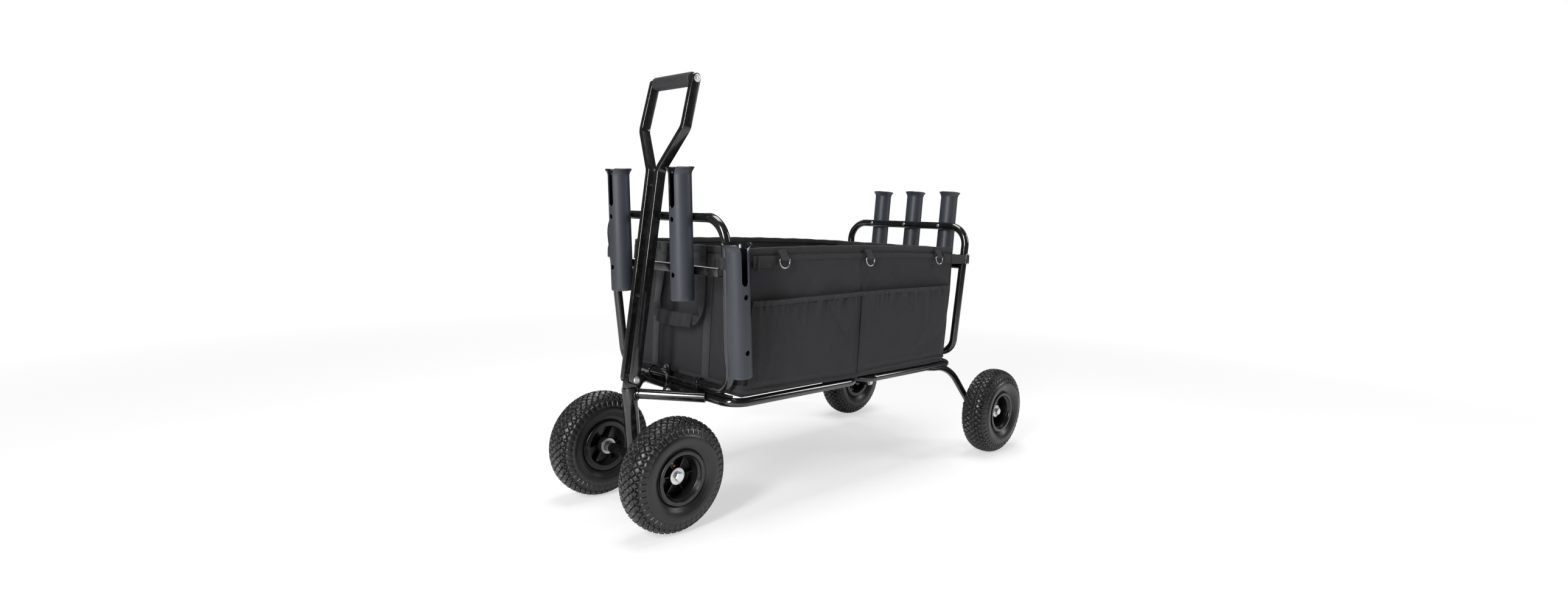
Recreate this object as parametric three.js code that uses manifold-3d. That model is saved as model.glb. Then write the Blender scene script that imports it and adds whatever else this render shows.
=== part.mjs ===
// Folding fishing trolley: four pneumatic wheels, a folding tube base, two end frames with rod
// holders, a steering post with a tall pull handle, and a fabric cargo bag with outer pockets.
// Millimetres, +Z up, +X to the rear, handle end at -X, near side at -Y, ground at z = 0.

import * as THREE from "three";
import { mergeVertices } from "three/addons/utils/BufferGeometryUtils.js";
import Module from "manifold-3d";

const wasm = await Module();
wasm.setup();

// Stance
const wheelbase = 1134;
const frontTrack = 304;
const rearTrack = 580;
const seatGap = 0.3;
const turnGap = 0.5;

// Tyres and inner tubes
const tyreDiameter = 260;
const tyreWidth = 86;
const tyreHeight = 84;
const tyreWall = 7;
const beadAngle = 132;
const beadFootOuter = 30;
const beadFootInner = 20;
const crownSquareness = 2.4;
const beadSquareness = 1.7;
const tyreOuterSteps = 6;
const tyreInnerSteps = 3;
const wheelSegments = 20;

// Rims
const rimFlangeDiameter = 123;
const rimSeatDiameter = 102;
const rimInnerDiameter = 94;
const rimWidth = 73;
const rimLip = 2.5;
const hubDiameter = 40;
const hubInnerReach = 38;
const hubOuterReach = 14;
const webInnerFace = 8;
const webOuterFace = 3;
const ribCount = 6;
const ribThickness = 3;
const ribRise = 12;

// Axle bolts
const boltDiameter = 16;
const boltHeadDiameter = 22;
const boltHeadHeight = 9;
const washerDiameter = 38;
const washerThickness = 2.5;
const boltGrip = 30;
const boltSegments = 12;
const headSides = 6;
const nutHeight = 9;

// Base frame tubes
const railDiameter = 21;
const railHalfWidth = 219;
const railHeight = 285;
const frontRailStart = -455;
const frontRailEnd = -22;
const frontCornerRadius = 45;
const baseCornerRadius = 35;
const rearRailHalfWidth = 213;
const rearRailDrop = 2;
const rearRailStart = 25;
const rearRailEnd = 431;
const tubeSides = 8;
const bendSteps = 3;

// Mid hinge of the base
const hingeX = 1.5;
const hingeDrop = 23;
const hingeSpan = 150;
const hingeLugWidth = 8;
const hingeLugRadius = 10;
const hingePinDiameter = 8;
const hingePinHeadDiameter = 14;
const hingePinHeadHeight = 4;
const linkSteps = 5;
const saddleSteps = 8;
const lugSteps = 6;

// Steering post and its yoke
const postRake = 6;
const sleeveDiameter = 35;
const sleeveBottom = 24;
const sleeveRise = 17;
const stemDiameter = 25;
const frontAxleDiameter = 25;
const strutDiameter = 24;
const strutStartX = -569;
const strutStartY = 4;
const strutEndX = -463;
const strutEndY = 131;
const strutLap = 4.5;
const postSegments = 14;

// Rear legs
const legDiameter = 20;
const legStartX = 330;
const legStartDrop = 6;
const legBendX = 421;
const legBendRadius = 180;
const legBossDiameter = 26;

// End frames
const frameTubeDiameter = 22;
const frameTopHeight = 700;
const footTubeRise = 27;
const frameTopHalfWidth = 227;
const frameFootHalfWidth = 211;
const frameTopRadius = 57;
const frameFootRadius = 45;
const frontFrameFootX = -457;
const frontFrameLean = 6.6;
const rearFrameFootX = 442;
const rearFrameLean = 2.5;
const crossBarDrop = 117;
const crossBarDepth = 12;
const crossBarRise = 20;
const saddleSpan = 95;
const saddleWidth = 20;
const saddleRadius = 14;

// Latches
const latchReach = 28;
const latchFootDrop = 20;
const latchRise = 42;
const latchHubDiameter = 16;
const latchHubWidth = 10;
const latchRodDiameter = 7;
const latchPinDiameter = 8;
const latchToeDiameter = 8;
const latchLugWidth = 10;
const latchEarDiameter = 18;
const latchEarBoltDiameter = 12;
const latchEarBoltHeight = 3;

// Pull handle
const pivotRise = 20.942;
const pivotOffset = 5;
const handleFrameGap = 9.95;
const legSpacing = 36;
const handleLegWidth = 14;
const handleLegDepth = 24;
const spadeStart = 486;
const spadeCorner = 582;
const spadeCornerHalfWidth = 80;
const spadeTop = 696;
const spadeTopHalfWidth = 77.5;
const spadeSetback = 21;
const gripDiameter = 32;
const gripBoltDiameter = 8;
const gripBoltHeadDiameter = 18;
const gripBoltHeadHeight = 3;
const pivotBoltDiameter = 10;
const pivotBoltHeadDiameter = 17;
const pivotBoltHeadHeight = 4;
const tongueWidth = 20;
const tongueDepth = 24;
const spacerDiameter = 12;
const spacerPlaces = [193, 450];

// Rod holders
const holderDiameter = 54;
const holderWall = 3;
const holderRimDiameter = 65;
const holderRimLip = 4;
const holderFlare = 18;
const holderLength = 292;
const holderFloor = 4;
const drainDiameter = 12;
const slotWidth = 20;
const slotDepth = 88;
const holeDiameter = 12;
const upperHole = 112;
const lowerHole = 234;
const frontHolderSpan = 121;
const frontHolderRise = 106;
const frontHolderLean = 3.4;
const nearHolderDrop = 53;
const cornerHolderForward = 7;
const padDiameter = 14;
const rearHolderSpan = 130;
const rearHolderRise = 104;
const rearHolderLean = 3.5;
const holderSegments = 16;
const screwDiameter = 5;
const screwHeadDiameter = 9;
const screwHeadHeight = 2.5;
const screwSides = 8;

// Cargo bag
const bagHalfWidth = 228;
const bagTop = 637;
const bagFrontFoot = -440;
const bagFrontTop = -430;
const bagRearFoot = 376;
const bagRearTop = 395;
const bagSeamX = -38;
const clothThickness = 3;
const pocketTop = 522;
const pocketReach = 10;
const pocketCloth = 2.5;
const pocketInset = 15;
const boardThickness = 4;
const boardInset = 4;
const boardJoint = 2;

// Carry handles on the bag ends
const carryHalfWidth = 60;
const carryTop = 600;
const carryBottom = 470;
const carryStandoff = 14;
const carryStrapWidth = 25;
const carryStrapThickness = 3;
const carryGripWidth = 96;
const carryGripDiameter = 22;

// Lashing rings
const ringPlaces = [-328, -14.5, 302];
const ringStandoff = 10;
const ringHeight = 613;
const ringHalfWidth = 16;
const ringDepth = 26;
const ringWire = 4;
const ringSteps = 6;
const tabWidth = 20;
const tabHeight = 25;
const tabReach = 15;
const tabDrop = 10;

// Elastic cargo net with its snap hooks, stowed on the front floor board
const netLength = 340;
const netWidth = 380;
const netHookGap = 7;
const netHem = 10;
const netCord = 5;
const netThickness = 3;
const netColumns = 6;
const netRows = 5;
const hookLength = 34;
const hookWidth = 18;
const hookWire = 3.5;
const hookTabLength = 12;
const hookTabWidth = 10;
const hookTabThickness = 8;
const hookTabCover = 2;

// Finishes: colour, roughness and metalness of each material
const finishes = {
  tube: [0x0b0b0c, 0.22, 0.3],
  zinc: [0xb9bcc0, 0.32, 0.95],
  rubber: [0x141415, 0.85, 0],
  butyl: [0x101011, 0.7, 0],
  rim: [0x0d0d0e, 0.35, 0],
  holder: [0x33373c, 0.55, 0],
  grip: [0x242528, 0.6, 0],
  cloth: [0x232327, 0.92, 0],
  board: [0x17171a, 0.7, 0],
  elastic: [0x0f0f11, 0.9, 0],
};

const axleHeight = tyreDiameter / 2;
const frontAxleX = -wheelbase / 2;
const rearAxleX = wheelbase / 2;
const frameTubeRadius = frameTubeDiameter / 2;
const railFlatRise = (railDiameter / 2) * Math.cos(Math.PI / tubeSides);
const bagBottom = railHeight + railFlatRise + seatGap;
const rearRailHeight = railHeight - rearRailDrop;
const hingeHeight = railHeight - hingeDrop;
const legStartHeight = rearRailHeight - legStartDrop;
const sleeveTop = railHeight - axleHeight + sleeveRise;
const frameFootHeight = railHeight + footTubeRise;
const latchFootHeight = frameFootHeight - latchFootDrop;
const crossBarHeight = frameTopHeight - crossBarDrop;
const frontHolderTop = frameTopHeight + frontHolderRise;
const nearHolderTop = frameTopHeight - nearHolderDrop;
const rearHolderTop = frameTopHeight + rearHolderRise;
const latchPivotHeight = latchFootHeight + latchRise;
const boardFrontX = bagFrontFoot + clothThickness + boardInset;
const netCentreX = boardFrontX + netHookGap + hookLength + netLength / 2;
const pivotHeight = axleHeight + sleeveTop * Math.cos(radians(postRake)) + pivotRise;
const root = new THREE.Group();

// Helpers: solids

function radians(degrees) {
  return THREE.MathUtils.degToRad(degrees);
}

function solidOf(geometry) {
  const plain = geometry.clone();
  plain.deleteAttribute("normal");
  plain.deleteAttribute("uv");
  const merged = mergeVertices(plain);
  const vertProperties = Float32Array.from(merged.attributes.position.array);
  const triVerts = Uint32Array.from(merged.index.array);
  return new wasm.Manifold(new wasm.Mesh({ numProp: 3, vertProperties, triVerts }));
}

function geometryOf(solid) {
  const { vertProperties, triVerts } = solid.getMesh();
  const geometry = new THREE.BufferGeometry();
  geometry.setAttribute("position", new THREE.BufferAttribute(vertProperties, 3));
  geometry.setIndex(new THREE.BufferAttribute(triVerts, 1));
  geometry.computeVertexNormals();
  return geometry;
}

function fuse(first, ...others) {
  return geometryOf(others.reduce((sum, next) => sum.add(solidOf(next)), solidOf(first)));
}

function cut(first, ...others) {
  return geometryOf(others.reduce((rest, next) => rest.subtract(solidOf(next)), solidOf(first)));
}

function common(first, second) {
  return geometryOf(solidOf(first).intersect(solidOf(second)));
}

function moved(geometry, x, y, z) {
  return geometry.clone().translate(x, y, z);
}

function ordered(a, b) {
  return a < b ? [a, b] : [b, a];
}

function addMesh(parent, name, geometry, finish) {
  const [color, roughness, metalness] = finishes[finish];
  const material = new THREE.MeshStandardMaterial({ color, roughness, metalness });
  const mesh = new THREE.Mesh(geometry, material);
  mesh.name = name;
  parent.add(mesh);
  return mesh;
}

function addGroup(parent, x, y, z, turnY = 0) {
  const group = new THREE.Group();
  group.position.set(x, y, z);
  group.rotation.y = turnY;
  parent.add(group);
  return group;
}

// Helpers: shapes

function regularOutline(radius, sides) {
  const points = [];
  for (let i = 0; i < sides; i += 1) {
    const angle = (2 * Math.PI * (i + 0.5)) / sides;
    points.push(new THREE.Vector2(radius * Math.cos(angle), radius * Math.sin(angle)));
  }
  return new THREE.Shape(points);
}

// A plate with round ends of two radii, from point a to point b
function linkOutline(a, b, radiusA, radiusB, steps = linkSteps) {
  const along = Math.atan2(b.y - a.y, b.x - a.x);
  const points = [];
  const ends = [[a, radiusA, along + Math.PI / 2], [b, radiusB, along - Math.PI / 2]];
  for (const [centre, radius, start] of ends) {
    for (let i = 0; i <= steps; i += 1) {
      const angle = start + (Math.PI * i) / steps;
      const spoke = new THREE.Vector2(Math.cos(angle), Math.sin(angle));
      points.push(spoke.multiplyScalar(radius).add(centre));
    }
  }
  return new THREE.Shape(points);
}

// A strip of constant width along a bent line, with mitred bends and square ends
function stripOutline(line, width) {
  const left = [];
  const right = [];
  line.forEach((point, i) => {
    const before = line[Math.max(i - 1, 0)];
    const after = line[Math.min(i + 1, line.length - 1)];
    const inward = point.clone().sub(i > 0 ? before : point).normalize();
    const onward = (i < line.length - 1 ? after.clone().sub(point) : inward.clone()).normalize();
    const start = i > 0 ? inward : onward;
    const normal = new THREE.Vector2(-start.y - onward.y, start.x + onward.x).normalize();
    const reach = width / 2 / normal.dot(new THREE.Vector2(-start.y, start.x));
    left.push(point.clone().addScaledVector(normal, reach));
    right.unshift(point.clone().addScaledVector(normal, -reach));
  });
  return new THREE.Shape([...right, ...left]);
}

// A plate whose outline lies in X and Z, centred on y
function sidePlate(outline, width, y) {
  const plate = new THREE.ExtrudeGeometry(outline, { depth: width, bevelEnabled: false });
  return plate.rotateX(Math.PI / 2).translate(0, y + width / 2, 0);
}

// A plate whose outline lies in Y and Z, centred on x
function frontPlate(outline, depth, x) {
  const plate = new THREE.ExtrudeGeometry(outline, { depth, bevelEnabled: false });
  const axes = [new THREE.Vector3(0, 1, 0), new THREE.Vector3(0, 0, 1), new THREE.Vector3(1, 0, 0)];
  return plate.applyMatrix4(new THREE.Matrix4().makeBasis(...axes)).translate(x - depth / 2, 0, 0);
}

function box(x0, x1, y0, y1, z0, z1) {
  const geometry = new THREE.BoxGeometry(x1 - x0, y1 - y0, z1 - z0);
  return geometry.translate((x0 + x1) / 2, (y0 + y1) / 2, (z0 + z1) / 2);
}

// A round bar along Y between two places
function barY(radius, y0, y1, segments = boltSegments) {
  return new THREE.CylinderGeometry(radius, radius, y1 - y0, segments).translate(0, (y0 + y1) / 2, 0);
}

function barZ(radius, z0, z1, segments = postSegments) {
  const bar = new THREE.CylinderGeometry(radius, radius, z1 - z0, segments);
  return bar.rotateX(Math.PI / 2).translate(0, 0, (z0 + z1) / 2);
}

function barX(radius, x0, x1, segments = boltSegments) {
  const bar = new THREE.CylinderGeometry(radius, radius, x1 - x0, segments);
  return bar.rotateZ(Math.PI / 2).translate((x0 + x1) / 2, 0, 0);
}

// A ring turned about Y from a closed profile of radius and height
function turned(profile, segments) {
  const outline = THREE.ShapeUtils.isClockWise(profile) ? [...profile].reverse() : profile;
  return new THREE.LatheGeometry([...outline, outline[0].clone()], segments);
}

// A path through given points, sampled exactly at those points
class PointPath extends THREE.Curve {
  constructor(points) {
    super();
    this.points = points;
  }

  getUtoTmapping(u) {
    return u;
  }

  getPoint(t) {
    const place = t * (this.points.length - 1);
    const index = Math.min(Math.floor(place), this.points.length - 2);
    return this.points[index].clone().lerp(this.points[index + 1], place - index);
  }

  getTangent(t) {
    const last = this.points.length - 1;
    const index = Math.round(t * last);
    const here = this.points[index];
    const inward = here.clone().sub(this.points[Math.max(index - 1, 0)]).normalize();
    const onward = this.points[Math.min(index + 1, last)].clone().sub(here).normalize();
    return inward.add(onward).normalize();
  }
}

// The corner points of a route, each replaced by an arc of its own radius
function roundedRoute(corners, radii) {
  const points = [corners[0]];
  for (let i = 1; i < corners.length - 1; i += 1) {
    const inward = corners[i].clone().sub(corners[i - 1]).normalize();
    const onward = corners[i + 1].clone().sub(corners[i]).normalize();
    const turn = inward.angleTo(onward);
    const axis = inward.clone().cross(onward).normalize();
    const radius = radii[i - 1];
    const start = corners[i].clone().addScaledVector(inward, -radius * Math.tan(turn / 2));
    const centre = start.clone().addScaledVector(axis.clone().cross(inward), radius);
    const spoke = start.clone().sub(centre);
    for (let k = 0; k <= bendSteps; k += 1) {
      points.push(spoke.clone().applyAxisAngle(axis, (turn * k) / bendSteps).add(centre));
    }
  }
  points.push(corners[corners.length - 1]);
  return points;
}

function tube(points, radius, sides = tubeSides) {
  const path = new PointPath(points);
  const options = { steps: points.length - 1, extrudePath: path, bevelEnabled: false };
  return new THREE.ExtrudeGeometry(regularOutline(radius, sides), options);
}

// A closed loop of tube, symmetric about y = 0, from its corners on the near side
function closedLoop(corners, radii, radius) {
  const lap = radius / 4;
  const halves = [-1, 1].map((side) => {
    const points = corners.map((corner) => new THREE.Vector3(corner.x, side * corner.y, corner.z));
    points[0].y = -side * lap;
    points[points.length - 1].y = -side * lap;
    return tube(roundedRoute(points, radii), radius);
  });
  return fuse(...halves);
}

// Wheels

// Radius and axial place of the tyre section at an angle from the crown, drawn in by an inset
function tyrePoint(angle, inset) {
  const squareness = Math.cos(angle) > 0 ? crownSquareness : beadSquareness;
  const depth = tyreHeight / 2 - inset;
  const half = tyreWidth / 2 - inset;
  const rise = Math.sign(Math.cos(angle)) * Math.abs(Math.cos(angle)) ** (2 / squareness);
  const side = Math.sign(Math.sin(angle)) * Math.abs(Math.sin(angle)) ** (2 / squareness);
  return new THREE.Vector2(tyreDiameter / 2 - tyreHeight / 2 + depth * rise, half * side);
}

function tyreArc(inset, steps) {
  const points = [];
  for (let i = 0; i <= steps; i += 1) {
    points.push(tyrePoint(radians(beadAngle * ((2 * i) / steps - 1)), inset));
  }
  return points;
}

// Points where a bead or the inner tube rests on the rim's seat
function seatPoints(...places) {
  return places.map((place) => new THREE.Vector2(rimSeatDiameter / 2 + seatGap, place));
}

function tyreGeometry() {
  const outer = tyreArc(0, tyreOuterSteps);
  const inner = tyreArc(tyreWall, tyreInnerSteps).reverse();
  const upperFoot = seatPoints(beadFootOuter, beadFootInner);
  const lowerFoot = seatPoints(-beadFootInner, -beadFootOuter);
  return geometryOf(solidOf(turned([...outer, ...upperFoot, ...inner, ...lowerFoot], wheelSegments)));
}

function innerTubeGeometry() {
  const foot = beadFootInner - turnGap;
  const profile = [...tyreArc(tyreWall + turnGap, tyreInnerSteps), ...seatPoints(foot, -foot)];
  return geometryOf(solidOf(turned(profile, wheelSegments)));
}

function rimGeometry() {
  const flange = rimFlangeDiameter / 2;
  const seat = rimSeatDiameter / 2;
  const inner = rimInnerDiameter / 2;
  const hub = hubDiameter / 2;
  const bore = boltDiameter / 2 + turnGap;
  const half = rimWidth / 2;
  const profile = [
    [bore, -hubInnerReach], [hub, -hubInnerReach], [hub, -webInnerFace], [inner, -webInnerFace],
    [inner + rimLip, -half], [flange, -half], [seat, -half + 2 * rimLip], [seat, half - 2 * rimLip],
    [flange, half], [inner + rimLip, half], [inner, -webOuterFace], [hub, -webOuterFace],
    [hub, hubOuterReach], [bore, hubOuterReach],
  ].map(([radius, place]) => new THREE.Vector2(radius, place));
  const dish = turned(profile, wheelSegments);
  const ribs = [];
  const side = ribThickness / 2;
  for (let i = 0; i < ribCount; i += 1) {
    const rib = box(hub - ribThickness, inner + side, -webInnerFace, ribRise, -side, side);
    ribs.push(rib.rotateY((2 * Math.PI * i) / ribCount));
  }
  return fuse(dish, ...ribs);
}

// Bolt with its washer under the head; the head is on the outer side of the wheel
function axleBoltGeometry(shankReach, hasNut) {
  const face = hubOuterReach + seatGap;
  const washer = barY(washerDiameter / 2, face, face + washerThickness, postSegments);
  const head = barY(boltHeadDiameter / 2, face, face + washerThickness + boltHeadHeight, headSides);
  const shank = barY(boltDiameter / 2, -shankReach, face + washerThickness / 2);
  const pieces = [washer, head, shank];
  if (hasNut) {
    const nutStart = -shankReach + nutHeight / 4;
    pieces.push(barY(boltHeadDiameter / 2, nutStart, nutHeight - shankReach, headSides));
  }
  return fuse(...pieces);
}

function addWheel(parent, name, x, y, z) {
  const side = Math.sign(y);
  const wheel = addGroup(parent, x, y, z);
  wheel.rotation.z = side > 0 ? 0 : Math.PI;
  addMesh(wheel, `${name}_tyre`, tyreGeometry(), "rubber");
  addMesh(wheel, `${name}_inner_tube`, innerTubeGeometry(), "butyl");
  addMesh(wheel, `${name}_rim`, rimGeometry(), "rim");
  return wheel;
}

const hubInnerY = (track) => track / 2 - hubInnerReach;
const rearBossOuter = hubInnerY(rearTrack) - seatGap;
const rearBossInner = rearRailHalfWidth - legBossDiameter / 2;

function addWheels(parent) {
  for (const [label, side] of [["near", -1], ["far", 1]]) {
    const frontY = (side * frontTrack) / 2;
    const rearY = (side * rearTrack) / 2;
    const front = addWheel(parent, `front_${label}`, frontAxleX, frontY, axleHeight);
    const rear = addWheel(parent, `rear_${label}`, rearAxleX, rearY, axleHeight);
    const frontBolt = axleBoltGeometry(hubInnerReach + boltGrip, false);
    addMesh(front, `front_${label}_axle_bolt`, frontBolt, "zinc");
    const nutEnd = rearTrack / 2 - rearBossInner + seatGap + nutHeight;
    addMesh(rear, `rear_${label}_axle_bolt`, axleBoltGeometry(nutEnd, true), "zinc");
  }
}

// Base frame

function frontBaseFrame() {
  const lugY = hingeSpan - hingeLugWidth / 2 - seatGap / 2;
  const lugs = [-1, 1].map((side) => hingeLug(frontRailEnd, railHeight, side * lugY));
  const saddles = frameSaddles(frontFrameFootX, frontRailStart, railHeight);
  const ear = latchEar(frontFrameFootX, -1, frontRailStart, railHeight);
  const bores = [...hingeBores(), saddleBore(frontFrameFootX)];
  return cut(fuse(frontRailLoop(railDiameter / 2), ...lugs, ...saddles, ear), ...bores);
}

function frontRailLoop(radius) {
  const corners = [
    new THREE.Vector3(frontRailStart, 0, railHeight),
    new THREE.Vector3(frontRailStart, railHalfWidth, railHeight),
    new THREE.Vector3(frontRailEnd, railHalfWidth, railHeight),
    new THREE.Vector3(frontRailEnd, 0, railHeight),
  ];
  return closedLoop(corners, [frontCornerRadius, baseCornerRadius], radius);
}

function hingeLug(tubeX, tubeHeight, y) {
  const from = new THREE.Vector2(tubeX, tubeHeight);
  const to = new THREE.Vector2(hingeX, hingeHeight);
  return sidePlate(linkOutline(from, to, railDiameter / 4, hingeLugRadius), hingeLugWidth, y);
}

function hingeBores() {
  const radius = hingePinDiameter / 2 + seatGap;
  const reach = hingeLugWidth + hingePinHeadHeight;
  return [-1, 1].map((side) => {
    const middle = side * hingeSpan;
    return moved(barY(radius, middle - reach, middle + reach), hingeX, 0, hingeHeight);
  });
}

function hingePin() {
  const reach = hingeLugWidth + seatGap;
  const pin = barY(hingePinDiameter / 2, -reach, reach + seatGap / 2 + hingePinHeadHeight / 2);
  const head = barY(hingePinHeadDiameter / 2, reach + seatGap / 2, reach + seatGap / 2 + hingePinHeadHeight);
  return fuse(pin, head);
}

function rearRailLoop(radius) {
  const corners = [
    new THREE.Vector3(rearRailStart, 0, rearRailHeight),
    new THREE.Vector3(rearRailStart, rearRailHalfWidth, rearRailHeight),
    new THREE.Vector3(rearRailEnd, rearRailHalfWidth, rearRailHeight),
    new THREE.Vector3(rearRailEnd, 0, rearRailHeight),
  ];
  return closedLoop(corners, [baseCornerRadius, baseCornerRadius], radius);
}

function rearBaseFrame() {
  const loop = rearRailLoop(railDiameter / 2);
  const lugY = hingeSpan + hingeLugWidth / 2 + seatGap / 2;
  const lugs = [-1, 1].map((side) => hingeLug(rearRailStart, rearRailHeight, side * lugY));
  const saddles = frameSaddles(rearFrameFootX, rearRailEnd, rearRailHeight);
  const ear = latchEar(rearFrameFootX, 1, rearRailEnd, rearRailHeight);
  const bores = [...hingeBores(), saddleBore(rearFrameFootX)];
  return cut(fuse(loop, ...lugs, ...saddles, ear), ...bores);
}

// Saddles that carry an end frame's foot tube on a cross tube of the base
function frameSaddles(footX, barPlaceX, barHeight) {
  return [-1, 1].map((side) => {
    const from = new THREE.Vector2(barPlaceX, barHeight);
    const to = new THREE.Vector2(footX, frameFootHeight);
    const outline = linkOutline(from, to, railDiameter / 4, saddleRadius, saddleSteps);
    return sidePlate(outline, saddleWidth, side * saddleSpan);
  });
}

function saddleBore(footX) {
  const reach = saddleSpan + saddleWidth;
  const radius = frameTubeRadius + turnGap;
  return moved(barY(radius, -reach, reach, postSegments), footX, 0, frameFootHeight);
}

// Ear on the base that the latch's foot stands on; outward is -1 at the front and 1 at the rear
function latchEar(footX, outward, barPlaceX, barHeight) {
  const from = new THREE.Vector2(barPlaceX, barHeight);
  const earRadius = latchEarDiameter / 2;
  const to = new THREE.Vector2(footX + outward * latchReach, latchFootHeight - earRadius);
  const outline = linkOutline(from, to, railDiameter / 4, earRadius);
  const plate = sidePlate(outline, latchHubWidth, latchMiddleY);
  const boltEnd = latchMiddleY - latchHubWidth / 2;
  const bolt = barY(latchEarBoltDiameter / 2, boltEnd - latchEarBoltHeight, latchMiddleY);
  return fuse(plate, moved(bolt, to.x, 0, to.y));
}

const latchMiddleY = -(latchLugWidth + latchHubWidth) / 2 - seatGap;

// Yoke: the post's sleeve with two struts that lap on the front cross tube of the base
function steeringYoke() {
  const sleeve = barZ(sleeveDiameter / 2, sleeveBottom, sleeveTop);
  const bore = barZ(stemDiameter / 2 + turnGap, 0, sleeveTop + sleeveDiameter);
  for (const piece of [sleeve, bore]) {
    piece.rotateY(-radians(postRake)).translate(frontAxleX, 0, axleHeight);
  }
  const struts = [1, -1].map((side) => {
    const from = new THREE.Vector3(strutStartX, -side * strutStartY, railHeight);
    const to = new THREE.Vector3(strutEndX, -side * strutEndY, railHeight);
    return tube([from, to], strutDiameter / 2, postSegments);
  });
  const lapX = frontRailStart - railDiameter / 2 + strutLap;
  const past = box(lapX, frontRailEnd, -railHalfWidth, railHalfWidth, 0, 2 * railHeight);
  const cope = frontRailLoop(railDiameter / 2 + seatGap);
  return cut(fuse(sleeve, ...struts), bore, past, cope);
}

function rearLeg(side) {
  const y = side * rearRailHalfWidth;
  const corners = [
    new THREE.Vector3(legStartX, y, legStartHeight),
    new THREE.Vector3(legBendX, y, legStartHeight),
    new THREE.Vector3(rearAxleX, y, axleHeight),
  ];
  const leg = tube(roundedRoute(corners, [legBendRadius]), legDiameter / 2);
  const [bossStart, bossEnd] = ordered(side * rearBossInner, side * rearBossOuter);
  const boss = moved(barY(legBossDiameter / 2, bossStart, bossEnd, postSegments), rearAxleX, 0, axleHeight);
  const bore = barY(boltDiameter / 2 + seatGap, 2 * bossStart - bossEnd, 2 * bossEnd - bossStart);
  const saddle = rearRailLoop(railDiameter / 2 + turnGap);
  return cut(fuse(leg, boss), moved(bore, rearAxleX, 0, axleHeight), saddle);
}

function addBase(parent) {
  addMesh(parent, "steering_yoke", steeringYoke(), "tube");
  addMesh(parent, "front_base_frame", frontBaseFrame(), "tube");
  addMesh(parent, "rear_base_frame", rearBaseFrame(), "tube");
  for (const [label, side] of [["near", -1], ["far", 1]]) {
    const pin = addMesh(parent, `base_hinge_pin_${label}`, hingePin(), "zinc");
    pin.position.set(hingeX, side * hingeSpan, hingeHeight);
    pin.rotation.z = side > 0 ? 0 : Math.PI;
    addMesh(parent, `rear_leg_${label}`, rearLeg(side), "tube");
  }
}

// Steering stem with its tongue, and the front axle

const handlePivotX = frontAxleX - (pivotHeight - axleHeight) * Math.tan(radians(postRake)) + pivotOffset;

function frontAxle() {
  const end = hubInnerY(frontTrack) - seatGap;
  const bores = [-1, 1].map((side) => {
    const [from, to] = ordered(side * (end - boltGrip - seatGap), side * (end + boltGrip));
    return barY(boltDiameter / 2 + seatGap, from, to);
  });
  return cut(barY(frontAxleDiameter / 2, -end, end, postSegments), ...bores);
}

function steeringStem() {
  const stem = barZ(stemDiameter / 2, 0, sleeveTop + 2 * turnGap);
  const pivot = new THREE.Vector2(handlePivotX - frontAxleX, pivotHeight - axleHeight);
  pivot.rotateAround(new THREE.Vector2(0, 0), -radians(postRake));
  const foot = new THREE.Vector2(0, sleeveTop);
  const outline = linkOutline(foot, pivot, tongueDepth / 2, tongueDepth / 2, lugSteps);
  const tongue = sidePlate(outline, tongueWidth, 0);
  const solid = fuse(stem, common(tongue, barZ(tongueDepth, sleeveTop + turnGap, 2 * sleeveTop)));
  const hole = barY(pivotBoltDiameter / 2 + seatGap, -tongueDepth, tongueDepth);
  const axleHole = barY(frontAxleDiameter / 2 + seatGap, -sleeveTop, sleeveTop, postSegments);
  return cut(solid, moved(hole, pivot.x, 0, pivot.y), axleHole);
}

function addSteering(parent) {
  const post = addGroup(parent, frontAxleX, 0, axleHeight, -radians(postRake));
  addMesh(post, "steering_stem", steeringStem(), "tube");
  addMesh(post, "front_axle", frontAxle(), "tube");
}

// Pull handle, in its own frame with the pivot at its origin

const spadeSlope = (spadeCornerHalfWidth - spadeTopHalfWidth) / (spadeTop - spadeCorner);

function handleSideLine() {
  return [[0, 0], [0, spadeStart], [spadeSetback, spadeTop]].map(([x, z]) => new THREE.Vector2(x, z));
}

function handleLeg(side, spacers) {
  const end = handleLegDepth / 2;
  const front = [
    new THREE.Vector2((side * legSpacing) / 2, -2 * end),
    new THREE.Vector2((side * legSpacing) / 2, spadeStart),
    new THREE.Vector2(side * spadeCornerHalfWidth, spadeCorner),
    new THREE.Vector2(side * (spadeTopHalfWidth - 2 * end * spadeSlope), spadeTop + 2 * end),
  ];
  const frontForm = frontPlate(stripOutline(front, handleLegWidth), 8 * handleLegDepth, 0);
  const [low, bend, top] = handleSideLine();
  const width = 3 * spadeCornerHalfWidth;
  const lowerForm = sidePlate(linkOutline(low, bend, end, end, lugSteps), width, 0);
  const upperForm = sidePlate(linkOutline(bend, top, end, end, lugSteps), width, 0);
  const leg = common(frontForm, fuse(lowerForm, upperForm));
  const bores = [
    moved(barY(pivotBoltDiameter / 2 + seatGap, -width, width), low.x, 0, low.y),
    moved(barY(gripBoltDiameter / 2 + seatGap, -width, width), top.x, 0, top.y),
  ];
  return cut(fuse(leg, ...spacers), ...bores);
}

function handleSpacers() {
  const inner = (legSpacing - handleLegWidth) / 2;
  const spacer = barY(spacerDiameter / 2, -inner - handleLegWidth / 4, inner - seatGap);
  return spacerPlaces.map((z) => moved(spacer, 0, 0, z));
}

function grip() {
  const reach = spadeTopHalfWidth - handleLegWidth / 2 - seatGap;
  const sleeve = barY(gripDiameter / 2, -reach, reach, postSegments);
  return cut(sleeve, barY(gripBoltDiameter / 2 + seatGap, -2 * reach, 2 * reach));
}

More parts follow.
